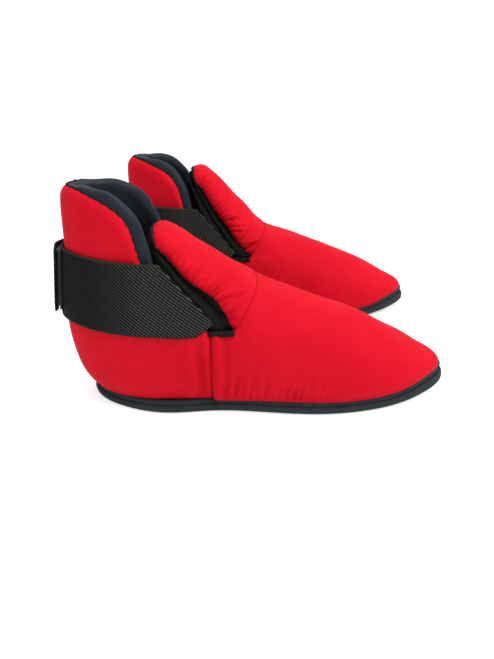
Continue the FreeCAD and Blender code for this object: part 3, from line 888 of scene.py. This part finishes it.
# ---------------------------------------------------------------- tongue
TONGUE_ROWS = 170
TONGUE_COLUMNS = 95
TONGUE_AXIS = np.array([-math.cos(TONGUE_TILT), 0.0, math.sin(TONGUE_TILT)])
TONGUE_NORMAL = np.array([math.sin(TONGUE_TILT), 0.0, math.cos(TONGUE_TILT)])
TONGUE_SAG = 1.2
TIP_DROOP = 2.0
TIP_ROUND = 10.0
INSTEP_DIP_REACH = 18.0
TONGUE_CLEARANCE = 0.8
GATHER_END = 8.0


def tongue_profile(boot, place):
    """Distance along the tongue, half width and edge drop at places from 0, the seam, to 1, the tip."""
    sections = np.array(TONGUE_SECTIONS)
    knots = np.arcsin(sections[:, 0] / sections[-1, 0]) * 2 / math.pi
    along = boot.tongue_length * np.sin(place * math.pi / 2)
    width = np.maximum(spline(knots, sections[:, 1], place), 0)
    drop = np.clip(spline(knots, sections[:, 2], place), 0, 0.7 * width)
    return along, width, drop


def tongue_top(boot, place, across):
    """The tongue's outer face before it is bent: across is a grid of places from -1 to 1."""
    along, width, drop = (values[:, None] for values in tongue_profile(boot, place))
    half_turn = np.maximum(2 * np.arctan2(drop, np.maximum(width, 1.0)), 0.02)
    y = width * np.sin(across * half_turn) / np.sin(half_turn)
    below = drop * (1 - np.cos(across * half_turn)) / (1 - np.cos(half_turn))
    below = below + TONGUE_SAG * np.sin(math.pi * along / boot.tongue_length) ** 2
    droop = smooth_step(0.7 * boot.tongue_length, boot.tongue_length, along)
    below = below + TIP_DROOP * droop * (1 - 0.2 * np.abs(across))
    points = INSTEP + along[..., None] * TONGUE_AXIS - below[..., None] * TONGUE_NORMAL
    points[..., 1] = y
    pull = (1 - smooth_step(0, 26, along))[..., None]
    return points + (seam_foot(across[0]) - points[0])[None] * pull


def seam_foot(across):
    """Where the tongue's outer face meets the vamp along the instep seam."""
    angles = 90 - (90 - CORNER_ANGLES[1]) * np.abs(across)
    points = vamp_point(vamp_start(angles), angles)
    points[:, 1] *= np.where(across > 0, 1, -1)
    return points


def bend_tongue(boot, points):
    """Bends points of the tongue up from the instep seam by the boot's own rest angle."""
    if not boot.tongue_raised:
        return points
    points = np.array(points, float)
    offset = points - INSTEP
    angle = boot.tongue_raised * smooth_step(0, TONGUE_BEND, offset @ TONGUE_AXIS)
    x, z = offset[..., 0], offset[..., 2]
    points[..., 0] = INSTEP[0] + x * np.cos(angle) + z * np.sin(angle)
    points[..., 2] = INSTEP[2] - x * np.sin(angle) + z * np.cos(angle)
    return points


def outline_directions(along, width):
    """Outward directions in the tongue's plane along its lateral and medial outline."""
    slope = np.gradient(width, along + 1e-4 * np.arange(len(along)))
    slope[-1] = min(slope[-2] * 3, -20.0)
    out_across = 1 / np.sqrt(1 + slope ** 2)
    forwards = (-slope * out_across)[:, None] * TONGUE_AXIS
    sideways = out_across[:, None] * np.array([0.0, 1.0, 0.0])
    return forwards - sideways, forwards + sideways, out_across


def rounding(distance, radius):
    """A quarter circle: 0 further than radius from an edge, 1 on it."""
    return 1 - np.sqrt(1 - np.clip(1 - distance / radius, 0, 1) ** 2)


def tongue_gathers(boot, foot, from_side, across):
    """Gathers that run off both edges of the tongue, each drawn from the seed of its side."""
    length = boot.tongue_length
    gathers = np.zeros(foot.shape)
    for lean in (-1, 1):
        draw = np.random.default_rng(boot.pick(300, 400) + lean)
        spot = 3.0
        while spot < length - GATHER_END:
            wide = draw.uniform(0.7, 1.4)
            reach = draw.uniform(8, 21) * (1 - 0.45 * spot / length) * (1.4 if spot < 14 else 1.0)
            strength = draw.uniform(0.9, 2.5) * (1.3 - 0.8 * spot / length)
            slant = draw.uniform(0.1, 0.75) * (1 if spot < 40 else 0.4)
            fade = strength * np.exp(-(from_side / reach) ** 2) * (np.sign(across) == lean)
            past = foot - spot + slant * from_side
            gathers += fade * (0.5 * hump(wide * 1.9, wide, past) - hump(0, wide, past))
            spot += wide * draw.uniform(2.6, 4.4)
    return gathers


def tongue_relief(boot, along, width, across, out_across, gathered=True):
    """Rounded edges and tip, the groove of the instep seam, gathers off both edges and slow unevenness."""
    from_side = (1 - np.abs(across)) * width[:, None] * 1.15
    foot = along[:, None] + 0 * from_side
    from_tip = boot.tongue_length - foot
    to_outline = from_side * np.maximum(out_across, 0.1)[:, None]
    side = boot.side_drop * rounding(to_outline, boot.side_drop + 4.5)
    relief = -np.maximum(side, boot.tip_drop * rounding(from_tip, TIP_ROUND))
    relief = relief - 0.8 * np.exp(-(foot / 0.9) ** 1.3)
    relief = relief - boot.instep_dip * hump(0.0, INSTEP_DIP_REACH, foot)
    if not gathered:
        return relief - 2.8 * np.exp(-(from_side / 17.0) ** 2)
    gathers = tongue_gathers(boot, foot, from_side, across)
    gathers = gathers * smooth_step(1, 4, foot) * smooth_step(2, 12, from_tip)
    slow = waviness(boot.pick(307, 407), 4, 0.8, 2.0)
    calm = smooth_step(6, 20, np.minimum(from_side, from_tip)) * smooth_step(4, 16, foot)
    return relief + gathers + 0.6 * slow(foot / 60 + across * 0.3) * calm


def tongue_normals(top, along, length):
    """Normals of the outer face; near the tip, where its rows crowd together, the tongue's own normal."""
    normal = facing(normals_of(top), TONGUE_NORMAL + 1e-3)
    at_tip = smooth_step(length - 16, length - 5, along)[:, None, None]
    return unit(normal * (1 - at_tip) + TONGUE_NORMAL * at_tip)


def tongue_cover(boot, place, across):
    """The red face of the tongue, and the two lines its edging follows."""
    along, width, _ = tongue_profile(boot, place)
    length = boot.tongue_length
    narrowing = 1 - boot.tongue_narrowing * hump(24.0, 16.0, along) * smooth_step(0, 10, along)
    lateral, medial, out_across = outline_directions(along, width)
    top = tongue_top(boot, place, across[None, :] * narrowing[:, None])
    normal = tongue_normals(top, along, length)
    shown = across[None, :] + 0 * place[:, None]
    relief = tongue_relief(boot, along, width, shown, out_across)[..., None]
    outer = top + normal * relief
    inner = top + normal * (relief - CLOTH)
    scallop = 0.5 * waviness(boot.pick(55, 56), 4, 9, 15)(place)[:, None]
    free = (smooth_step(0, 8, along) * (1 - smooth_step(length - 6, length, along)))[:, None]
    for grid in (outer, inner):
        grid[:, 0] += lateral * (0.5 + scallop) * free
        grid[:, -1] += medial * (0.5 - scallop) * free
    outer[:, [0, -1]] -= normal[:, [0, -1]] * 0.45
    outer[-1] = outer[-2].mean(axis=0)
    inner[-1] = inner[-2].mean(axis=0)
    points, faces = sheet_solid(bend_tongue(boot, outer), bend_tongue(boot, inner))
    cover = make_object(boot, "tongue_cover", points, faces, RED)
    sides = ((0, lateral), (-1, medial))
    return cover, [(outer[:, k] - normal[:, k] * 1.2 + lean * 0.3, lean, normal[:, k]) for k, lean in sides]


def tongue_lining(boot, place, across):
    """The black body of the tongue: its top under the cover, its side walls and its underside."""
    along, width, _ = tongue_profile(boot, place)
    length = boot.tongue_length
    lateral, medial, out_across = outline_directions(along, width)
    spread = across[None, :] + 0 * place[:, None]
    top = tongue_top(boot, place, spread)
    relief = tongue_relief(boot, along, width, spread, out_across, gathered=False)[..., None]
    under = top + tongue_normals(top, along, length) * (relief - CLOTH - 0.3)
    under[-1] = under[-2].mean(axis=0)
    shares = np.linspace(0, 1, 9)[1:-1]
    foot = smooth_step(0, 14, along)[:, None]
    puff = waviness(boot.pick(61, 62), 4, 4, 9)(place)[:, None]
    deeper = (boot.tip_drop - boot.side_drop) * smooth_step(length - 9, length, along)
    border = (boot.side_drop + deeper + CLOTH)[:, None]

    def wall_row(k, lean, share):
        swell = (1.3 + 0.5 * puff) * math.sin(math.pi * share) ** 0.7 * foot
        recess = 0.2 + boot.wall_recess * (0.3 + 0.7 * share)
        depth = border + share * (TONGUE_DEPTH - border)
        return top[:, k] + lean * (swell - recess * foot) - TONGUE_NORMAL * depth

    rows = [under[:, j] for j in range(0, TONGUE_COLUMNS, 2)]
    rows += [wall_row(-1, medial, share) for share in shares]
    for j in range(TONGUE_COLUMNS - 1, -1, -2):
        soft = 0.8 * waviness(70 + j % 3, 3, 0.8, 2.0)(place * 1.2 + across[j] * 0.2)[:, None]
        rows.append(top[:, j] - TONGUE_NORMAL * (TONGUE_DEPTH + soft * foot))
    rows += [wall_row(0, lateral, share) for share in shares[::-1]]
    grid = np.stack(rows)
    grid[..., 1] *= 1 - 0.05 * (1 - smooth_step(THROAT_Z - 6, THROAT_Z + 6, grid[..., 2]))
    grid[..., 2] = np.maximum(grid[..., 2], THROAT_Z + TONGUE_CLEARANCE)
    return make_object(boot, "tongue_lining", *ring_solid(bend_tongue(boot, grid)), SHADED_TONGUE_LINING)


def tongue_edging(boot, lines):
    """The overlocked strip under the cover's edge, from one end of the instep seam round the tip."""
    keep = TONGUE_ROWS - 2
    path, lean, up = (np.concatenate([a[:keep], b[:keep][::-1]]) for a, b in zip(*lines))
    fine = resampled(np.concatenate([path, unit(lean), unit(up)], axis=1), 1.5)
    half_width = 1.15 + 0.15 * np.sin(np.arange(len(fine)) * 1.9)
    points, faces = tube(fine[:, :3], unit(fine[:, 3:6]), unit(fine[:, 6:]), half_width, 0.7)
    return make_object(boot, "tongue_edging", bend_tongue(boot, points), faces, EDGING)


def tongue_pieces(boot):
    place = np.linspace(0, 1, TONGUE_ROWS)
    bow = math.pi / 2 * 0.86
    across = np.sin(np.linspace(-1, 1, TONGUE_COLUMNS) * bow) / math.sin(bow)
    cover, lines = tongue_cover(boot, place, across)
    pad = tongue_lining(boot, place, across)
    edging = tongue_edging(boot, lines)
    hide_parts(boot.name("tongue_cover"), boot.name("tongue_foam"))
    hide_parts(boot.name("tongue_lining"))
    return [(cover, "red_cloth"), (pad, "black_lining"), (edging, "edging")]


# ---------------------------------------------------------------- straps
STRAP_COLUMNS = 171
STRAP_ROWS = 22
TUCK = 5.0
END_ROUND = 5.0
END_RUN = 68.0
STITCH_TURNS = (-0.10, 0.0, 0.26)
STITCHES_UP = 9


def strap_point(strap, turn, z, outset):
    """A point of a strap's outer face, moved out by outset, at a turn round the heel and a height."""
    share = (z - STRAP_BOTTOM) / STRAP_WIDTH
    back = between(strap["backs"], share) - outset
    x, y = round_heel(turn, back, between(strap["widths"], share) + outset)
    y = y - np.sign(turn) * TUCK * smooth_step(72, 100, x)
    c, s = math.cos(STRAP_TILT), math.sin(STRAP_TILT)
    about_x, about_z = STRAP_TILT_ABOUT
    dx, dz = x - about_x, z - about_z
    return np.stack([about_x + dx * c + dz * s, y, about_z - dx * s + dz * c], axis=-1)


def front_limit(z):
    """How far forwards a strap reaches at height z, where it is sewn into the throat."""
    (top_x, top_z), (corner_x, corner_z), (low_x, low_z) = STRAP_FRONT
    if z > corner_z:
        return corner_x + (z - corner_z) * (top_x - corner_x) / (top_z - corner_z)
    return low_x + (z - low_z) * (corner_x - low_x) / (corner_z - low_z)


def strap_ends(strap, z):
    """The turns at which the row at height z starts, at the throat, and ends, past the back of the heel."""
    side = strap["side"]
    low, high = 0.5, 1.5
    for _ in range(40):
        middle = (low + high) / 2
        point = strap_point(strap, np.array(side * middle), z, 0)
        if point[0] > front_limit(point[2]):
            high = middle
        else:
            low = middle
    width = between(strap["widths"], (z - STRAP_BOTTOM) / STRAP_WIDTH)
    past_back = math.asin((abs(strap["end_y"]) / width) ** (1 / CUP_SHARPNESS)) * 2 / math.pi
    to_corner = min(z - STRAP_BOTTOM, STRAP_TOP - z)
    past_back -= float(rounding(to_corner, END_ROUND)) * END_ROUND / END_RUN
    return side * low, -side * past_back


def strap_run(strap, turns):
    """How far along the strap each turn is, in mm, counted from ahead of its sewn end."""
    fine = np.linspace(1.5, -0.6, 400)
    line = strap_point(strap, strap["side"] * fine, (STRAP_BOTTOM + STRAP_TOP) / 2, 0)
    return np.interp(-strap["side"] * turns, -fine, lengths_along(line))


def strap_grid(strap, outset, low=STRAP_BOTTOM, high=STRAP_TOP, zone=None):
    """Rows of a strap's face between two heights, with their UVs; zone sets both ends of every row."""
    rows, uvs = [], []
    for z in np.linspace(low, high, STRAP_ROWS):
        turns = np.linspace(*(zone or strap_ends(strap, z)), STRAP_COLUMNS)
        rows.append(strap_point(strap, turns, z, outset))
        uvs.append(np.stack([strap_run(strap, turns), np.full(len(turns), z - STRAP_BOTTOM)], axis=1))
    return np.stack(rows), np.stack(uvs)


def strap_piece(boot, name, strap):
    """One webbing strap: it bows a little off the cup and its long edges are rounded."""
    outer, uvs = strap_grid(strap, 0.0)
    inner, _ = strap_grid(strap, -STRAP_THICKNESS)
    rise = np.linspace(0, 1, STRAP_ROWS)[:, None]
    run = uvs[..., 0]
    slow = waviness(12 if strap["side"] > 0 else 13, 4, 0.6, 1.8)
    bow = 0.9 * slow(run / 120 + rise * 0.2) * smooth_step(0, 40, run) * (1 - smooth_step(110, 130, run))
    room = np.clip(bow, *strap["bow"])[..., None]
    roll = (-0.45 * (np.exp(-rise * 22) + np.exp(-(1 - rise) * 22)))[..., None]
    normal = facing(normals_of(outer), outer * [1, 1, 0] - [CUP_ROUND_FROM - 10, 0, 0])
    points, faces = sheet_solid(outer + normal * (room + roll), inner + normal * (room - roll))
    piece = make_object(boot, name, points, faces, WEBBING, np.concatenate([uvs.reshape(-1, 2)] * 2))
    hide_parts(boot.name(name))
    return piece


def patch_piece(boot, name, strap, outset):
    """A patch of hooks or loops over the end of a strap."""
    low, high = STRAP_BOTTOM + PATCH_MARGIN, STRAP_TOP - PATCH_MARGIN
    outer, inner = (
        strap_grid(strap, depth, low, high, PATCH_ZONE)[0] for depth in (outset, outset - PATCH_THICKNESS)
    )
    piece = make_object(boot, name, *sheet_solid(outer, inner), PILE)
    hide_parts(boot.name(name))
    return piece


def closure_stitches(boot):
    """Rows of stitches up the outside of the medial strap, over both ends of the hook patch."""
    parts = []
    swell = np.array([0.12, 0.22, 0.24, 0.22, 0.12])
    across, up = (np.tile(way, (len(swell), 1)) for way in ([0.0, 1.0, 0.0], [-1.0, 0.0, 0.0]))
    for turn in STITCH_TURNS:
        for k in range(STITCHES_UP):
            heights = STRAP_BOTTOM + PATCH_MARGIN + 2 + 4.6 * k + np.linspace(0, 3, len(swell))
            path = strap_point(MEDIAL_STRAP, np.full(len(swell), turn), heights, -0.1)
            parts.append(tube(path, across, up, swell, swell, 6))
    piece = make_object(boot, "closure_stitching", *joined(parts), THREAD)
    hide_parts(boot.name("closure_stitching"))
    return piece


# ---------------------------------------------------------------- sole
BINDING_PROFILE = [
    (6.3, 0.5), (4.5, 0.15), (2.2, 0.1), (0.8, 0.6), (0.1, 1.7), (-0.1, 2.9), (0.2, 4.1), (0.9, 5.0),
    (1.7, 5.3), (2.3, 5.0), (2.6, 4.8), (2.5, 5.6), (2.3, 6.6), (2.6, 7.8), (3.5, 8.7), (4.8, 8.9),
    (6.4, 8.3), (7.2, 7.0), (6.8, 5.5), (1.4, 4.4), (1.2, 2.6), (6.2, 2.3),
]
BINDING_LAP = 1.5
OUTLINE_STEP = 1.5
GROOVE = (2.45, 5.15)
STITCH_STEP = 0.75
STITCH_PITCH = 5
STITCH_POINTS = 4
SLAB_STEP = 3.0
SLAB_SHARES = (0.04, 0.3, 0.55, 0.8)


def sole_line(step=OUTLINE_STEP):
    """The sole's outline as an evenly spaced closed line from the heel, and its outward normals."""
    points = SOLE_HALF_OUTLINE + [(x, -y) for x, y in reversed(SOLE_HALF_OUTLINE[1:-1])]
    wrapped = np.array(points[-4:] + points + points[:5], float)
    knots = lengths_along(wrapped)
    fine = np.linspace(knots[4], knots[4 + len(points)], 1200)
    line = np.stack([spline(knots, column, fine) for column in wrapped.T], axis=1)
    line = resampled(line, step)[:-1]
    tangent = unit(np.roll(line, -1, axis=0) - np.roll(line, 1, axis=0))
    normal = np.stack([tangent[:, 1], -tangent[:, 0]], axis=1)
    outwards = (normal * (line - np.array(SOLE_MIDDLE))).sum() > 0
    return line, normal if outwards else -normal


def binding_piece(boot, name, ahead):
    """One of the two folded tapes round the sole; they overlap a little at the waist."""
    line, normal = sole_line()
    past_joint = (line[:, 0] - BINDING_JOINT_X) * (1 if ahead else -1)
    keep = past_joint > -BINDING_LAP
    start = int(np.flatnonzero(keep & ~np.roll(keep, 1))[0])
    order = [(start + i) % len(line) for i in range(int(keep.sum()))]
    line, normal = line[order], normal[order]
    count = len(line)
    beat = np.linspace(0, 1, count)
    seed = (21 if ahead else 22) + boot.pick(0, 10)
    heave = 0.35 * waviness(seed, 5, 3, 9)(beat)
    shift = 0.35 * waviness(seed + 3, 5, 3, 8)(beat)
    lap = np.exp(-np.minimum(np.arange(count), np.arange(count)[::-1]) * OUTLINE_STEP / 5.0)
    lap_in, lap_down = (-0.2, 0.0) if ahead else (0.9, 0.8)
    rows = []
    for inset, z in BINDING_PROFILE:
        on_top = smooth_step(5.0, 7.0, z)
        depth = inset + on_top * shift + lap_in * lap * (z > 1)
        height = z + on_top * (heave - lap_down * lap) + toe_rise(line[:, 0], z)
        rows.append(np.column_stack([line - normal * depth[:, None], height]))
    piece = make_object(boot, name, *ring_solid(np.stack(rows)), BINDING)
    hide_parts(boot.name(name))
    return piece


def sole_stitches(boot):
    """Stitches along the groove between the binding's two tiers."""
    line, normal = sole_line(STITCH_STEP)
    up = np.tile([0.0, 0.0, 1.0], (STITCH_POINTS, 1))
    parts = []
    for start in range(0, len(line) - STITCH_PITCH, STITCH_PITCH):
        place = slice(start, start + STITCH_POINTS)
        path = line[place] - normal[place] * GROOVE[0]
        if abs(path[0, 0] - BINDING_JOINT_X) < 5:
            continue
        height = GROOVE[1] + toe_rise(line[place, 0], GROOVE[1]) + np.array([-0.1, 0.2, 0.2, -0.1])
        across = np.column_stack([normal[place], np.zeros(STITCH_POINTS)])
        parts.append(tube(np.column_stack([path, height]), across, up, 0.34, 0.3, 6))
    piece = make_object(boot, "sole_stitching", *joined(parts), THREAD)
    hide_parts(boot.name("sole_stitching"))
    return piece


def slab_piece(boot, name, inset, levels, material, crown=0.0):
    """A slab with rounded edges; each level is (further inset, height), crown raises its top's middle."""
    line, normal = sole_line(SLAB_STEP)
    if name == "insole":
        length = SOLE_HALF_OUTLINE[-1][0]
        width = max(y for _, y in SOLE_HALF_OUTLINE)
        scale = np.array([(length - 2 * INSOLE_INSET) / length, (width - INSOLE_INSET) / width])
        line = line * scale + np.array([INSOLE_INSET, 0])
    rim = [np.column_stack([line - normal * (inset + more), np.full(len(line), z)]) for more, z in levels]

    def ring(edge, share, height):
        middle = np.array([SOLE_MIDDLE[0], 0, 0])
        return middle + (edge - middle) * [0.5 + 0.5 * share, share, 0] + [0, 0, height]

    rings = [ring(rim[0], share, levels[0][1]) for share in SLAB_SHARES] + rim
    rings += [ring(rim[-1], share, levels[-1][1] + crown * (1 - share ** 2)) for share in SLAB_SHARES[::-1]]
    grid = np.stack(rings)
    count = len(line)
    faces = grid_faces(len(rings), count, close_columns=True)
    faces.append(tuple(reversed(range(count))))
    faces.append(tuple((len(rings) - 1) * count + j for j in range(count)))
    piece = make_object(boot, name, grid.reshape(-1, 3), faces, material)
    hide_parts(boot.name(name))
    return piece


OUTSOLE_LEVELS = [(0.5, 0.0), (0.0, 0.5), (0.0, 2.2)]
BOARD_LEVELS = [(0.3, 2.6), (0.0, 2.9), (0.0, 4.8), (0.3, 5.1)]
INSOLE_LEVELS = [(0.6, 5.3), (0.0, 6.0), (0.0, 8.4), (0.9, 9.2)]


def sole_pieces(boot):
    return [
        (slab_piece(boot, "outsole", 6.5, OUTSOLE_LEVELS, OUTSOLE), "outsole"),
        (slab_piece(boot, "sole_board", 1.5, BOARD_LEVELS, BOARD), "board"),
        (slab_piece(boot, "insole", 0.0, INSOLE_LEVELS, INSOLE, 0.5), "insole"),
        (binding_piece(boot, "sole_binding_front", True), "binding"),
        (binding_piece(boot, "sole_binding_heel", False), "binding"),
        (sole_stitches(boot), "thread"),
    ]


# ---------------------------------------------------------------- putting the pair together
def along_tongue(boot, distance):
    """A point on the tongue's line, in the frame of the pair, this far from the instep seam."""
    tilt = TONGUE_TILT + boot.tongue_raised / 2
    return boot.place(INSTEP + distance * np.array([-math.cos(tilt), 0.0, math.sin(tilt)]))


def build_boot(boot):
    body, tongue, strap = (boot.name(part) for part in ("boot", "tongue", "strap"))
    fixed = sole_pieces(boot) + heel_pieces(boot) + vamp_pieces(boot)
    lateral = strap_piece(boot, "lateral_strap", LATERAL_STRAP)
    loops = patch_piece(boot, "loop_patch", LATERAL_STRAP, 0.1 + PATCH_THICKNESS)
    fixed += [(lateral, "webbing"), (loops, "hook_and_loop")]
    for piece, slot in fixed:
        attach(piece, body)
    for piece, slot in tongue_pieces(boot):
        along_tongue(boot, 0.0)
        along_tongue(boot, TONGUE_BEND)
        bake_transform(piece)
    medial = strap_piece(boot, "medial_strap", MEDIAL_STRAP)
    hinge = np.array(boot.strap_hinge["pos_m"])
    bend_end = boot.place(STRAP_BEND_END)
    bend_end[2] = hinge[2]
    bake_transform(medial)
    hooks = patch_piece(boot, "hook_patch", MEDIAL_STRAP, -STRAP_THICKNESS - 0.1)
    stitches = closure_stitches(boot)
    for piece, slot in ((hooks, "hook_and_loop"), (stitches, "thread")):
        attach(piece, strap)


def placed(name, data):
    """A new object in the scene."""
    made = bpy.data.objects.new(name, data)
    bpy.context.scene.collection.objects.link(made)
    return made


def white_studio():
    """White floor, white surroundings and three soft lamps from above."""
    mesh = bpy.data.meshes.new("floor")
    steps = np.linspace(-FLOOR_REACH, FLOOR_REACH, 9)
    points = [(x, y, -FLOOR_GAP) for y in steps for x in steps]
    mesh.from_pydata(points, [], grid_faces(9, 9))
    mesh.materials.append(FLOOR)
    placed("floor", mesh)

    world = bpy.data.worlds.new("surroundings")
    world.use_nodes = True
    world.node_tree.nodes["Background"].inputs["Color"].default_value = (1, 1, 1, 1)
    world.node_tree.nodes["Background"].inputs["Strength"].default_value = 1.0
    bpy.context.scene.world = world

    middle = Vector(tuple((np.array(cad_box[0]) + np.array(cad_box[1])) / 2))
    for name, offset, width, power in LAMPS:
        lamp = bpy.data.lights.new(name, "AREA")
        lamp.shape = "DISK"
        lamp.size = width
        lamp.energy = power
        lamp_object = placed(name, lamp)
        lamp_object.location = middle + Vector(offset)
        lamp_object.rotation_euler = (-Vector(offset)).to_track_quat("-Z", "Y").to_euler()


def camera_view(right):
    """The camera, placed from the right boot's own origin."""
    data = bpy.data.cameras.new("camera")
    data.sensor_width = 36.0
    data.sensor_fit = "VERTICAL"
    data.sensor_height = 36.0
    data.lens = CAMERA_LENS
    data.clip_end = 60.0
    heading_c, heading_s = math.cos(CAMERA_HEADING), math.sin(CAMERA_HEADING)
    down_c, down_s = math.cos(CAMERA_DOWN), math.sin(CAMERA_DOWN)
    roll_c, roll_s = math.cos(CAMERA_ROLL), math.sin(CAMERA_ROLL)
    forward = np.array([-heading_s * down_c, heading_c * down_c, -down_s])
    level = np.array([heading_c, heading_s, 0.0])
    upright = np.cross(level, forward)
    across = roll_c * level + roll_s * upright
    up = roll_c * upright - roll_s * level
    place = right.origin + np.array(CAMERA_PLACE) / 1000
    rows = np.stack([across, up, -forward, place], axis=1).tolist()
    camera = placed("camera", data)
    camera.matrix_world = Matrix([*rows, (0.0, 0.0, 0.0, 1.0)])
    bpy.context.scene.camera = camera
    bpy.context.scene.view_settings.view_transform = "Standard"


CAMERA_PLACE = (120.4, -330.6, 214.7)
CAMERA_HEADING = math.radians(0.3)
CAMERA_DOWN = math.radians(27.01)
CAMERA_ROLL = math.radians(-1.03)
CAMERA_LENS = 27.2
STRAP_BEND_END = (70.0, 45.0, 88.0)
FLOOR_REACH = 14.0
FLOOR_GAP = 0.0004
LAMPS = (
    ("key", (0.75, -0.45, 1.4), 0.8, 19.0),
    ("top", (0.0, 0.5, 1.5), 1.2, 8.0),
    ("front", (1.4, 0.1, 0.8), 0.8, 4.0),
)

boots = [Boot("right"), Boot("left")]
for boot in boots:
    build_boot(boot)
white_studio()
camera_view(boots[0])
